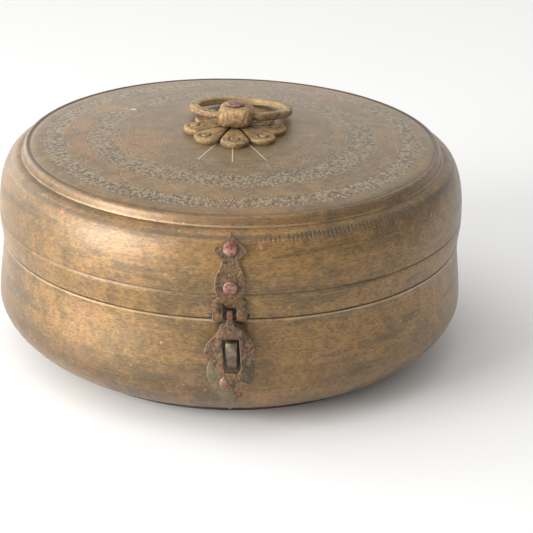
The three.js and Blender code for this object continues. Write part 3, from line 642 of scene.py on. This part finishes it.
def cut_sheet(name, rows, place, thickness, slot=None, bulge=lambda x, v: 0, edge=0.45, columns=14):
    """A flat piece of sheet from rows of (height, left, right) in mm, with chamfered edges.
    A slot is (top, bottom, left, right), where left and right give its sides at a height."""
    front, back, rim = [], [], []
    last = len(rows) - 1
    for k, (v, left, right) in enumerate(rows):
        width = right - left
        chamfer = min(edge, 0.3 * width)
        if slot:
            sides = [slot[2](v), slot[3](v)]
            centre = min(max(sum(sides) / 2, left + 0.35 * width), right - 0.35 * width)
            half = min((sides[1] - sides[0]) / 2, 0.3 * width)
            low, high = centre - half, centre + half
            xs = [left, left + chamfer]
            xs += [between(left + chamfer, low - chamfer, (i + 1) / 5) for i in range(5)] + [low]
            xs += [between(low, high, (i + 1) / 5) for i in range(4)] + [high]
            xs += [between(high + chamfer, right - chamfer, i / 5) for i in range(5)]
            inside = slot[1] - 0.01 <= v <= slot[0] + 0.01
            lip = [chamfer if inside else 0]
            dips = [chamfer] + [0] * 6 + lip + [0] * 4 + lip + [0] * 6 + [chamfer]
        else:
            xs = [left] + [between(left + chamfer, right - chamfer, i / columns) for i in range(columns)]
            dips = [chamfer] + [0] * (columns + 1) + [chamfer]
        xs += [right - chamfer, right]
        at_end = edge if k in (0, last) else 0
        front.append([])
        back.append([])
        for x, dip in zip(xs, dips):
            dent = 0.16 * noise.noise(Vector((x, v, 3)) * 0.35)
            dent += 0.06 * noise.noise(Vector((x, v, 7)) * 1.3)
            front[-1].append(place(x, v, thickness - max(dip, at_end) + dent + bulge(x, v)))
            back[-1].append(place(x, v, 0))
            rim.append(1.0 if dip or at_end else 0.0)
    across = len(front[0])
    corners = [point for row in front for point in row] + [point for row in back for point in row]
    shift = len(front) * across
    faces, edges = [], {}
    for k in range(last):
        for i in range(across - 1):
            if slot and 7 <= i < 12 and slot[1] - 0.01 <= rows[k + 1][0] and rows[k][0] <= slot[0] + 0.01:
                continue
            a = k * across + i
            face = (a, a + 1, a + across + 1, a + across)
            faces.append(face)
            faces.append(tuple(corner + shift for corner in reversed(face)))
            for start, end in zip(face, face[1:] + face[:1]):
                if (end, start) in edges:
                    del edges[(end, start)]
                else:
                    edges[(start, end)] = True
    faces += [(end, start, start + shift, end + shift) for start, end in edges]
    return finished_mesh(name, corners, faces, rim + [0.6] * len(rim))


def spade_rows(knots, centre=0.0, steps=7):
    return [(seam_height + rise, centre - half, centre + half) for half, rise in through(knots, steps)]


def knuckle(name, axis, barrel, width, centre, arm):
    """A rolled knuckle: a barrel round the pin at axis (radius, height), joined by an arm to the
    strap, between two points of the strap's end. All in mm, seen from the side."""
    first, second = arm
    start = math.atan2(first[1] - axis[1], first[0] - axis[0])
    start += math.acos(barrel / math.dist(first, axis))
    end = math.atan2(second[1] - axis[1], second[0] - axis[0])
    end -= math.acos(barrel / math.dist(second, axis))
    while end < start:
        end += 2 * math.pi
    bends = [between(start, end, i / 28) for i in range(29)]
    outline = [(axis[0] + barrel * math.cos(bend), axis[1] + barrel * math.sin(bend)) for bend in bends]
    outline = [first] + outline + [second]
    lanes = [(-0.5 * width, 0.0), (-0.5 * width + 0.35, 1), (0.5 * width - 0.35, 1), (0.5 * width, 0.0)]
    middle = (sum(x for x, y in outline) / len(outline), sum(y for x, y in outline) / len(outline))
    corners, rim = [], []
    for lane, full in lanes:
        for x, y in outline:
            draw = 0 if full else 0.35 / max(math.dist((x, y), middle), 0.5)
            px, py = between(x, middle[0], draw), between(y, middle[1], draw)
            corners.append(Vector((centre + lane, -px, py)) * MM)
            rim.append(0.0 if full else 0.8)
    return finished_mesh(name, corners, tube_faces(4, len(outline)), rim)


def joined(name, meshes):
    """Several meshes of one forged piece as one."""
    shaper = bmesh.new()
    for mesh in meshes:
        shaper.from_mesh(mesh)
        bpy.data.meshes.remove(mesh)
    whole = bpy.data.meshes.new(name)
    shaper.to_mesh(whole)
    shaper.free()
    return whole


lid_face = [(seam_radius, lid_rim[1])] + lid_wall[3:9] + [lid_belly] + shoulder
on_lid = on_wall(lid_face)
strap_thickness = 1.6
strap_knots = [
    (0.35, 41.9), (1.5, 40.4), (4.2, 38.2), (7.2, 36.4), (8.1, 35.3), (7.4, 33.9), (5.6, 32.5), (4.6, 30.8),
    (4.6, 29), (5.8, 26.2), (7.1, 22.8), (7.6, 19.2), (7.3, 15.8), (6.4, 13.4), (5.8, 12.5), (6.8, 11.4),
    (8.3, 10), (8.5, 8.4), (8.5, 6.9),
]


def off_the_lid(across, height, proud):
    return on_lid(across, height, proud + gap)


hasp_pin_axis = (128.0, 67.4)
hasp_barrel = 2.6
strap_sheet = cut_sheet("strap_sheet", spade_rows(strap_knots), off_the_lid, strap_thickness)
prong_arm = ((123.7, 73.2), (125.4, 73.2))
prongs = [knuckle("prong", hasp_pin_axis, hasp_barrel, 5.1, centre, prong_arm) for centre in (-5.85, 5.85)]
hasp_strap = joined("hasp_strap", [strap_sheet] + prongs)
strap_finish = strap_bronze("strap bronze", 0.45, 0.15)
make_piece("hasp_strap", hasp_strap, strap_finish, "lid", ["hasp_strap"])


# ---- Lower hasp plate ----
# A pointed plate behind the flap that guards the bowl. It sits under the staple and one rivet, and
# its face is left rough, grey-green and grainy.
def off_the_bowl(across, height, proud):
    return on_bowl(across, height, proud + gap)


bowl_face = bowl_wall[:-1] + [(seam_radius, bowl_rim + 0.1)]
on_bowl = on_wall(bowl_face)
plate_knots = [
    (2.6, -1.2), (5.6, -3.4), (6.6, -9), (8, -16), (11, -23), (11.6, -27), (10.4, -31.6), (7, -37.4),
    (3.2, -42.6), (3.0, -45.5), (1.6, -48.8), (0.4, -51.4),
]


def plate_bronze(name):
    """Raw brass sheet, never polished: grey-green, pitted, with pale grains, and a patch of painted shade
    behind the flap's slot.
    """
    material, shader, place = begin_finish(name, 0.4)
    grain = place.cloud(1100, 5, 0.75)
    clouds = place.cloud(120, 4)
    skin = clouds.rises(0.35, 0.65).tint(colour(0.124, 0.093, 0.055), colour(0.211, 0.168, 0.105))
    skin = skin.under(
        (grain.rises(0.5, 0.62), 0.6, (0.31, 0.264, 0.176)),
        (grain.falls(0.36, 0.46), 0.6, (0.062, 0.048, 0.03)),
    )
    x, y, z = place.parts()
    # Painted shade: a dark patch on the plate behind the flap, round the staple.
    shade = (((x - 0.001) * 140) ** 2 + ((z - 0.0475) * 95) ** 2).falls(0.4, 1.6)
    skin = (shade * 0.85).tint(skin, colour(0.022, 0.016, 0.011))
    end_finish(shader, skin, 0.6 + clouds * 0.2, grain + clouds * 0.5, 0.0005)
    return material


plate_mesh = cut_sheet("hasp_plate", spade_rows(plate_knots, centre=0.8), off_the_bowl, strap_thickness)
make_piece("hasp_plate", plate_mesh, plate_bronze("plate bronze"), "base", ["hasp_plate"])


# ---- Hasp flap ----
# The swinging flap, cut from one sheet and dished by hand: a narrow tongue rolled round the pin, two
# lobes beside the slot, a raised lip round it, and a spade point that leans to the right.
flap_tilt = math.radians(11)
flap_back = 0.8
tilt = Matrix.Rotation(-flap_tilt, 4, "X")
pin_place = Matrix.Translation(Vector((0, -hasp_pin_axis[0], hasp_pin_axis[1])) * MM)
slot_lean = 1.3
slot_top, slot_bottom = -11.4, -28.2
slot_width = 8.2
lip_reach = 5.4
lobe_middle = 8.5


def slot_left(v):
    return -3.5 + slot_lean * min(max((slot_top - v) / (slot_top - slot_bottom), 0), 1)


def slot_right(v):
    return slot_left(v) + slot_width


def off_the_pin(across, rise, proud):
    return pin_place @ tilt @ (Vector((across, flap_back - proud, rise)) * MM)


def lip_round_slot(x, v):
    """How far the flap's face stands up: a lip round the slot, two lobes and a brow above it."""
    centre = (slot_left(v) + slot_right(v)) / 2
    outside = max(abs(x - centre) - lip_reach, v - slot_top - 4, slot_bottom - 3 - v, 0)
    lobe = 0.3 * math.cos(min(abs(abs(x - centre) - lobe_middle) / 3, 1) * math.pi / 2)
    brow = 0.5 * math.exp(-((x - centre) / 4.5) ** 2 - ((v + 8.8) / 1.9) ** 2)
    return 1.0 / (1 + (outside / 0.9) ** 3) + lobe + brow


flap_left = [
    (-1.3, -1.0), (-1.5, -3.8), (-2.0, -5.0), (-3.6, -5.8), (-5.2, -7.2), (-6.4, -9.4), (-8.4, -11.4),
    (-10.3, -13.5), (-11.6, -16), (-11.9, -18.4), (-11.0, -21), (-9.0, -23.6), (-6.8, -25.8), (-4.7, -27.6),
    (-3.0, -29.8), (-1.4, -32.6), (0.5, -35.2), (2.6, -38.0), (4.2, -40.4), (4.6, -41),
]
flap_right = [
    (1.3, -1.0), (1.5, -3.8), (2.2, -5.0), (3.8, -5.6), (6.2, -7.3), (8.2, -9.2), (10.3, -11.3),
    (12.2, -14), (13.0, -16.8), (12.7, -19.6), (11.4, -22.5), (9.2, -24.8), (7.2, -26.6), (6.2, -28.8),
    (6.0, -31.2), (7.4, -32.4), (9.6, -33.2), (9.9, -34.2), (8.4, -37.0), (6.6, -39.6), (5.6, -41),
]
left_curve = through(flap_left, 8)
right_curve = through(flap_right, 8)


def edge_at(curve, v):
    for (x0, v0), (x1, v1) in zip(curve, curve[1:]):
        if v0 >= v >= v1 and v0 > v1:
            return between(x0, x1, (v0 - v) / (v0 - v1))
    return curve[-1][0]


flap_heights = sorted({-1 - 0.4 * i for i in range(101)} | {slot_top, slot_bottom}, reverse=True)
flap_rows = [(v, edge_at(left_curve, v), edge_at(right_curve, v)) for v in flap_heights]
flap_slot = (slot_top, slot_bottom, slot_left, slot_right)
flap_sheet = cut_sheet(
    "flap_sheet", flap_rows, off_the_pin, strap_thickness, flap_slot, lip_round_slot, edge=0.35
)
loop_profile = [(1.4, -1.4), (2.35, -1.4), (2.6, -1.1), (2.6, 1.1), (2.35, 1.4), (1.4, 1.4)]
loop_place = pin_place @ Matrix.Rotation(math.pi / 2, 4, "Y")
flap_loop = turned("flap_loop", loop_profile, 28, closed=True, place=loop_place)
flap_mesh = joined("hasp_flap", [flap_sheet, flap_loop])
flap_finish = strap_bronze("flap bronze", 0.35, 0.55)
make_piece("hasp_flap", flap_mesh, flap_finish, "hasp", ["hasp_flap"])


# ---- Staple ----
# A strip of iron bent square, that the slot drops over. Its legs go through plate and wall and are
# turned over inside. Filed grey faces with a few yellow rubs.
def filed_iron(name):
    material, shader, place = begin_finish(name, 0.75)
    clouds = place.cloud(260, 4)
    grain = place.cloud(1500, 4, 0.7)
    skin = clouds.rises(0.36, 0.62).tint(colour(0.12, 0.093, 0.066), colour(0.27, 0.215, 0.155))
    skin = skin.under(
        (grain.falls(0.36, 0.48), 0.5, (0.056, 0.044, 0.031)),
        (place.cloud(330, 2).rises(0.66, 0.72), 0.8, (0.372, 0.231, 0.067)),
    )
    end_finish(shader, skin, 0.38 + clouds * 0.25, clouds + grain * 0.4, 0.0004)
    return material


iron = filed_iron("filed iron")
staple_short = 0.35
slot_end = hasp_pin_axis[0] - slot_bottom * math.sin(flap_tilt) - flap_back * math.cos(flap_tilt)
staple_nose = slot_end - staple_short
staple_top, staple_bottom = 54.6, 40.6
staple_back = 121.5
staple_path = [(staple_back, staple_top - 3.0), (staple_back, staple_top - 0.8)]
bends = [(1.2 * math.sin(angle), 1.2 * math.cos(angle)) for angle in (0, 0.4, 0.8, 1.2, 1.57)]
staple_path += [(staple_nose - 2 + out, staple_top - 2 + rise) for out, rise in bends]
staple_path += [(staple_nose - 2 + out, staple_bottom + 2 - drop) for drop, out in bends]
staple_path += [(staple_back + 0.7, staple_bottom + 0.8), (staple_back + 0.7, staple_bottom + 3.0)]


def bent_strip(name, path, width, thickness, centre, chamfer=0.35):
    """A strip bent along a path of (radius, height) in mm, with chamfered edges."""
    half, deep = width / 2, thickness / 2
    flat, tall = half - chamfer, deep - chamfer
    section = [
        (-half, -tall), (-flat, -deep), (flat, -deep), (half, -tall),
        (half, tall), (flat, deep), (-flat, deep), (-half, tall),
    ]
    corners = []
    for i, (radius, height) in enumerate(path):
        before, after = path[max(i - 1, 0)], path[min(i + 1, len(path) - 1)]
        along = Vector((after[0] - before[0], after[1] - before[1])).normalized()
        side = Vector((along.y, -along.x))
        for across, lift in section:
            wear = 0.12 * noise.noise(Vector((across * 3, height, radius)) * 0.45)
            push = side * (lift + wear)
            corners.append(Vector((centre + across, -radius - push.x, height + push.y)) * MM)
    return finished_mesh(name, corners, tube_faces(len(path), len(section)))


staple_mesh = bent_strip("hasp_staple", staple_path, 5.8, 1.6, 0.9)
make_piece("hasp_staple", staple_mesh, iron, "base", ["hasp_staple"], crease=50)


# ---- Hasp pin ----
# A short iron wire through fork and tongue, cut a little long, with peened ends.
def pin_mesh(name, radius, start, end, offset, height):
    profile = [
        (0, start), (radius * 0.8, start), (radius * 1.02, start + 0.3), (radius, start + 0.8),
        (radius, end - 0.8), (radius * 1.02, end - 0.3), (radius * 0.8, end), (0, end),
    ]
    place = Matrix.Translation(Vector((0, -offset, height)) * MM) @ Matrix.Rotation(math.pi / 2, 4, "Y")
    return turned(name, profile, 20, unevenness=0.1, place=place)


def black_iron(name):
    """Old wire, painted near black as the shade between the knuckles and at its right end, and lighter grey
    at its left end.
    """
    material, shader, place = begin_finish(name, 0.6)
    x = place.parts()[0]
    grain = place.cloud(900, 4)
    # Painted shade: near black, but lighter grey at the left end.
    skin = x.falls(-0.0092, -0.0084).tint(colour(0.035, 0.028, 0.022), colour(0.12, 0.115, 0.11))
    skin = (grain.rises(0.5, 0.6) * 0.4).tint(skin, colour(0.14, 0.11, 0.09))
    end_finish(shader, skin, 0.5 + grain * 0.2, grain, 0.0002)
    return material


hasp_pin_mesh = pin_mesh("hasp_pin", 1.1, -10.5, 9.5, *hasp_pin_axis)
make_piece("hasp_pin", hasp_pin_mesh, black_iron("hasp wire"), "lid", ["hasp_pin"])


# ---- Rivets ----
# Copper rivets, hammered flat on the outside and clinched inside. Their heads tarnish pink and
# crimson, brighter round the struck edge.
def tarnished_copper(name, crimson):
    material, shader, place = begin_finish(name, 0.6)
    clouds = place.cloud(420, 4)
    grain = place.cloud(1300, 4, 0.7)
    skin = clouds.rises(0.38, 0.62).tint(colour(0.2, 0.085, 0.062), colour(0.33, 0.19, 0.145))
    skin = skin.under(
        (clouds.falls(0.4, 0.52), crimson, (0.21, 0.03, 0.036)),
        (grain.falls(0.38, 0.48), 0.5, (0.106, 0.05, 0.038)),
        (grain.rises(0.58, 0.66), 0.5, (0.42, 0.29, 0.235)),
    )
    end_finish(shader, skin, 0.36 + clouds * 0.25, clouds + grain * 0.5, 0.00035)
    return material


def rivet_mesh(name, place, head, shank, stack, clinch, height=1.2):
    """A rivet along +Z of its place, with its head on the plane z = 0. All in mm."""
    end = -stack - 2 * gap
    profile = [
        (0, end - 0.95), (clinch * 0.8, end - 0.9), (clinch, end - 0.4), (clinch, end), (shank, end),
        (shank, 0), (head * 0.97, 0), (head, height * 0.25), (head * 0.95, height * 0.6),
        (head * 0.8, height * 0.86), (head * 0.5, height * 0.97), (head * 0.2, height), (0, height),
    ]
    return turned(name, profile, 36, unevenness=0.32, place=place)


def wall_rivet(name, laid, across, height, head, body, copper, half_turn=False):
    """A rivet through a strap that is laid on a wall."""
    seat = laid(across, height, strap_thickness + gap)
    out = (laid(across, height, 5) - laid(across, height, 1)).normalized()
    place = Matrix.Translation(seat) @ out.to_track_quat("Z", "Y").to_matrix().to_4x4()
    if half_turn:
        place = Matrix.Rotation(math.pi, 4, "Z") @ place
    mesh = rivet_mesh(name, place, head, 1.6, gap + strap_thickness + sheet, 2.4)
    make_piece(name, mesh, copper, body, [name])


crimson_copper = tarnished_copper("crimson copper", 0.75)
pink_copper = tarnished_copper("pink copper", 0.12)
wall_rivet("hasp_strap_rivet_upper", off_the_lid, -0.3, seam_height + 35.87, 3.5, "lid", crimson_copper)
wall_rivet("hasp_strap_rivet_lower", off_the_lid, 0, seam_height + 17.78, 3.5, "lid", pink_copper)
wall_rivet("hasp_plate_rivet", off_the_bowl, -1.4, seam_height - 31.8, 3.2, "base", pink_copper)


# ---- Rear hinge ----
# Two leaves of the same sheet as the hasp strap, one on the bowl and one on the lid, with three
# knuckles on an iron pin. Drawn in front and turned to the back.
hinge_axis = (130.0, 63.0)
hinge_half = 8.5
to_back = Matrix.Rotation(math.pi, 4, "Z")


def hinge_leaf(name, laid, way, knuckles, ends, body):
    knots = [(hinge_half, 8), (7.3, 10), (7.9, 14), (4.9, 20), (7.7, 27), (3.9, 32), (0.5, 36)]
    rows = [(seam_height + way * rise, -half, half) for half, rise in through(knots, 6)]
    rows.sort(reverse=True)
    meshes = [cut_sheet(name, rows, laid, strap_thickness)]
    meshes += [knuckle(name, hinge_axis, 3.4, width, centre, ends) for width, centre in knuckles]
    leaf = joined(name, meshes)
    leaf.transform(to_back)
    make_piece(name, leaf, hinge_bronze, body, [name])


hinge_bronze = strap_bronze("hinge bronze", 0.35, 0.2)
lid_end = [on_lid(0, 72.2, proud) / MM for proud in (0.35, 1.9)]
bowl_end = [on_bowl(0, 53.8, proud) / MM for proud in (1.9, 0.35)]
lid_end = [(-point.y, point.z) for point in lid_end]
bowl_end = [(-point.y, point.z) for point in bowl_end]
hinge_leaf("rear_hinge_lid_leaf", off_the_lid, 1, [(4.9, -6.05), (4.9, 6.05)], lid_end, "lid")
hinge_leaf("rear_hinge_base_leaf", off_the_bowl, -1, [(6.6, 0)], bowl_end, "base")
for number, rise in enumerate((12.5, 26), 1):
    for body, laid, way in (("lid", off_the_lid, 1), ("base", off_the_bowl, -1)):
        name = "rear_hinge_%s_rivet_%d" % (body, number)
        wall_rivet(name, laid, 0, seam_height + way * rise, 3, body, pink_copper, True)
rear_pin_mesh = pin_mesh("rear_hinge_pin", 1.5, -9.5, 9.5, *hinge_axis)
rear_pin_mesh.transform(to_back)
make_piece("rear_hinge_pin", rear_pin_mesh, iron, "base", ["rear_hinge_pin"])


# ---- Rosette ----
# A cast brass flower of eight petals under the handle. Each petal is filed to a low dome, with a
# groove on both sides and a small punched ring near its tip.
def cast_brass(name, paleness=0.0):
    """Cast brass, filed and handled: brown in its hollows, paler where fingers rub it, and painted dark at
    the rosette's foot as painted shade.
    """
    material, shader, place = begin_finish(name, 0.45)
    clouds = place.cloud(110, 6, 0.65)
    grain = place.cloud(750, 5, 0.75)
    x, y, z = place.parts()
    scrapes = place.point(x * 260, y * 260, z * 1500).cloud(1, 4)
    skin = clouds.rises(0.38, 0.6).tint(colour(0.2, 0.122, 0.055), colour(0.39, 0.25, 0.105))
    skin = skin.under(
        (scrapes.rises(0.52, 0.62), (0.25 + paleness), (0.52, 0.41, 0.27)),
        (grain.falls(0.38, 0.5), 0.6, (0.1, 0.065, 0.038)),
        (grain.rises(0.56, 0.68), 0.35, (0.55, 0.4, 0.22)),
    )
    rim = place.node("Attribute", {"attribute_name": "rim"}, {}, 2)
    # Rim above 0 rubs it pale; below 0 darkens it: dirt in hollows, and painted shade at the rosette's
    # foot.
    skin = skin.under(
        (rim.rises(0.15, 0.7), 0.35, (0.5, 0.36, 0.19)),
        (rim.falls(-0.7, -0.1), 0.8, (0.07, 0.046, 0.027)),
    )
    roughness = 0.48 + clouds * 0.2 - rim * 0.06
    end_finish(shader, skin, roughness, clouds + grain * 0.7 + scrapes * 0.3, 0.0005)
    return material


rosette_brass = cast_brass("rosette brass")
handle_x = 1.0
handle_seat = disc_height(0)
disc_slope = 0.0219
rosette_top = 4.3
rosette_radius, notch_radius = 27.2, 19.0
half_petal = math.pi / 8
notch_reach = notch_radius * math.cos(half_petal)
petal_centre = (rosette_radius ** 2 - notch_radius ** 2) / (2 * (rosette_radius - notch_reach))
petal_end = rosette_radius - petal_centre


def petal_reach(angle):
    """The rosette's radius at an angle from a petal's middle line."""
    sideways = petal_centre * math.sin(angle)
    return petal_centre * math.cos(angle) + math.sqrt(max(petal_end ** 2 - sideways ** 2, 0))


around, outwards = 320, 34
corners, rim = [], []
for k in range(outwards + 1):
    for i in range(around):
        angle = 2 * math.pi * i / around
        petal = (angle + half_petal) % (2 * half_petal) - half_petal
        reach_here = petal_reach(petal)
        share = 0.12 + 0.88 * min(k / (outwards - 3), 1)
        radius = reach_here * share
        side = abs(radius * math.sin(half_petal - abs(petal)))
        dome = 0.75 * (1 - (petal / half_petal) ** 4) * min(share * 1.4, 1)
        groove = 0.9 * math.exp(-(side / 0.55) ** 2) * (share > 0.25)
        ring = math.hypot(radius * math.cos(petal) - 21.4, radius * math.sin(petal))
        punch = 0.5 * math.exp(-((ring - 1.6) / 0.5) ** 2) - 0.55 * math.exp(-((ring - 2.9) / 0.45) ** 2)
        edge_fall = 0.6 * max((share - 0.95) / 0.05, 0) ** 2
        height = rosette_top - 1.9 * share ** 2 + dome - 0.6 - groove + punch - edge_fall
        height += 0.15 * noise.noise(Vector((radius * math.cos(angle), radius * math.sin(angle), 5)) * 0.4)
        wear = punch * 1.4 + (0.4 if share > 0.95 else 0) - min(groove * 1.6, 1)
        # The last rings drop to the lid, and their rim value paints the rosette's foot dark: painted shade
        # under the petals' edges.
        if k > outwards - 3:
            drop = (k - outwards + 3) / 3
            height = between(height, gap - disc_slope * radius, drop)
            wear = -0.6 * drop
        x, y = handle_x + radius * math.sin(angle), -radius * math.cos(angle)
        corners.append(Vector((x, y, handle_seat + height)) * MM)
        rim.append(wear)
rosette_mesh = finished_mesh("rosette", corners, tube_faces(outwards + 1, around), rim)
make_piece("rosette", rosette_mesh, rosette_brass, "lid", ["handle_rosette"])


# ---- Boss ----
# The cast block that stands on the rosette and takes the ring's ends: a cushion with round corners,
# scribed arcs on its sides, and a blind hole left and right.
turn_handle = Matrix.Rotation(math.radians(-8), 4, "Z")
boss_low = handle_seat + rosette_top + gap
boss_seat = Matrix.Translation(Vector((handle_x, 0, boss_low)) * MM) @ turn_handle
boss_height = 10
boss_levels = [
    (0.3, 0), (0.78, 0.0), (0.88, 0.7), (0.96, 2.0), (1.0, 4.2), (0.99, 6.0), (0.95, 7.6), (0.87, 8.9),
    (0.76, 9.7), (0.62, boss_height), (0.3, boss_height),
]
boss_lean = 0.8
boss_half = 9.6
corners, rim = [], []
boss_around = 112
for share, height in through(boss_levels, 4):
    for i in range(boss_around):
        angle = 2 * math.pi * i / boss_around
        c, s = math.cos(angle), math.sin(angle)
        reach_here = 1 / (abs(c) ** 3.6 + abs(s) ** 3.6) ** (1 / 3.6)
        x, y = boss_half * share * reach_here * c, boss_half * share * reach_here * s
        arc = math.hypot(boss_half * (abs(c * reach_here) - 1), height - 4.6) if abs(s) > abs(c) else 9
        cut = 0.28 * math.exp(-((arc - 4.4) / 0.45) ** 2) if share > 0.85 else 0
        disc_patchiness = 0.45 * noise.noise(Vector((x, y, height)) * 0.3) + 0.15 * noise.noise(Vector((x, y, height)))
        scale = 1 - (cut + disc_patchiness) / boss_half
        point = Vector((boss_lean * min(height / 2, 1) + x * scale, y * scale, height))
        corners.append(boss_seat @ (point * MM))
        rim.append(-cut * 2 + (0.35 if 8 < height < 9.8 else 0))
boss_mesh = finished_mesh("boss", corners, tube_faces(len(corners) // boss_around, boss_around), rim)
make_piece("boss", boss_mesh, cast_brass("boss brass"), "lid", ["handle_boss"])


# ---- Ring ----
# The lifting ring, a cast bar bent nearly round, that lies back over the lid. Its two ends are drawn
# down to round pegs that turn in the boss.
ring_radius, bar_across, bar_tall = 25.4, 5.2, 4.0
peg_height = 3.9
peg_shoulder = 9.4
ring_droop = Matrix.Rotation(math.radians(-8.5), 4, "X")
ring_seat = boss_seat @ Matrix.Translation((0, 0, peg_height * MM)) @ ring_droop
ring_middle = math.sqrt(ring_radius ** 2 - peg_shoulder ** 2)
ring_end = 9.76
ring_start = math.asin(ring_end / (ring_radius - bar_across / 2))
corners, rim = [], []
ring_steps, ring_section = 120, 20
for k in range(ring_steps + 1):
    angle = between(ring_start, 2 * math.pi - ring_start, k / ring_steps)
    wear = 1 + 0.06 * noise.noise(Vector((k * 0.11, 2, 9)))
    for i in range(ring_section):
        turn = 2 * math.pi * i / ring_section
        c, s = math.cos(turn), math.sin(turn)
        reach_here = 1 / (abs(c) ** 4.5 + abs(s) ** 4.5) ** (1 / 4.5)
        out = ring_radius + bar_across / 2 * reach_here * c * wear
        lift = bar_tall / 2 * reach_here * s * wear
        dent = 0.12 * noise.noise(Vector((out * math.sin(angle), out * math.cos(angle), lift)) * 0.35)
        point = Vector((out * math.sin(angle), ring_middle - out * math.cos(angle), lift + dent)) * MM
        corners.append(ring_seat @ point)
        rim.append(0.75 if c < -0.5 else 0.25 if s > 0.6 else -0.1)
bow = finished_mesh("bow", corners, tube_faces(ring_steps + 1, ring_section), rim)
peg_profile = [(0, 5.0), (1.7, 5.0), (1.9, 5.4), (1.9, 13.6), (1.5, 14.4), (0, 14.4)]
pegs = []
for side in (-1, 1):
    sideways = ring_seat @ Matrix.Rotation(side * math.pi / 2, 4, "Y")
    pegs.append(turned("peg", peg_profile, 24, place=sideways))
ring_mesh = joined("handle_ring", [bow] + pegs)
make_piece("handle_ring", ring_mesh, cast_brass("ring brass", 0.45), "ring", ["handle_ring"])


# ---- Handle rivet and washer ----
# One long copper rivet runs through boss, rosette and lid, and is clinched over a brass washer
# underneath. Its head is struck flat and has gone pink with red edges.
handle_top = Matrix.Translation(Vector((handle_x, 0, boss_low + boss_height + gap)) * MM)
washer_radius, washer_tall = 7, 1.2
washer_depth = sheet + gap + disc_slope * washer_radius + washer_tall
handle_stack = rosette_top + boss_height + gap + washer_depth
handle_rivet = rivet_mesh("handle_rivet", handle_top, 5.0, 2.3, handle_stack, 3.9, height=1.1)
handle_copper = tarnished_copper("handle copper", 0.4)
make_piece("handle_rivet", handle_rivet, handle_copper, "lid", ["handle_rivet"])
washer_hole, washer_flat = 2.6, washer_radius - 0.3
washer_profile = [(washer_hole, 0), (washer_flat, 0), (washer_radius, 0.3), (washer_radius, 0.9)]
washer_profile += [(washer_flat, washer_tall), (washer_hole, washer_tall)]
washer_seat = Matrix.Translation(Vector((handle_x, 0, handle_seat - washer_depth)) * MM)
washer_mesh = turned("handle_washer", washer_profile, 48, closed=True, place=washer_seat)
washer_brass = inner_brass("washer brass", 4)
make_piece("handle_washer", washer_mesh, washer_brass, "lid", ["handle_washer"])


# ---- Cups ----
# Seven loose spun cups for the spices, one in the middle and six round it, each with a rolled rim
# and a curved foot that follows the bowl.
cup_brass = inner_brass("cup brass", 1.6)
cup_low, cup_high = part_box("spice_cup_1")
cup_radius = (cup_high.x - cup_low.x) / MM / 2
cup_foot = cup_radius * 0.62
cup_side = [(0, 0), (cup_foot * 0.5, 0), (cup_foot, 0), (cup_foot + 4, 1.1)]
cup_curve = ((5.5, 4.6), (2.2, 9), (0.8, 15), (0.5, 24), (0.5, 46.6))
cup_side += [(cup_radius - inward, height) for inward, height in cup_curve]
cup_roll = ((0.1, 47.4), (0, 48.6), (0.1, 49.6), (0.6, 50), (1.3, 49.8), (1.5, 48.8))
cup_lip = [(cup_radius - inward, height) for inward, height in cup_roll]
cup_hollow = inset(cup_side, 1.0)[::-1]
for number in range(1, 8):
    name = "spice_cup_%d" % number
    low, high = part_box(name)
    centre = (low + high) / 2
    seat = Matrix.Translation((centre.x, centre.y, low.z)) @ Matrix.Rotation(number * 1.1, 4, "Z")
    cup_mesh = turned(name, cup_side + cup_lip + cup_hollow, 72, unevenness=0.1)
    make_piece(name, cup_mesh, cup_brass, "cup_%d" % number, [name], place=seat)
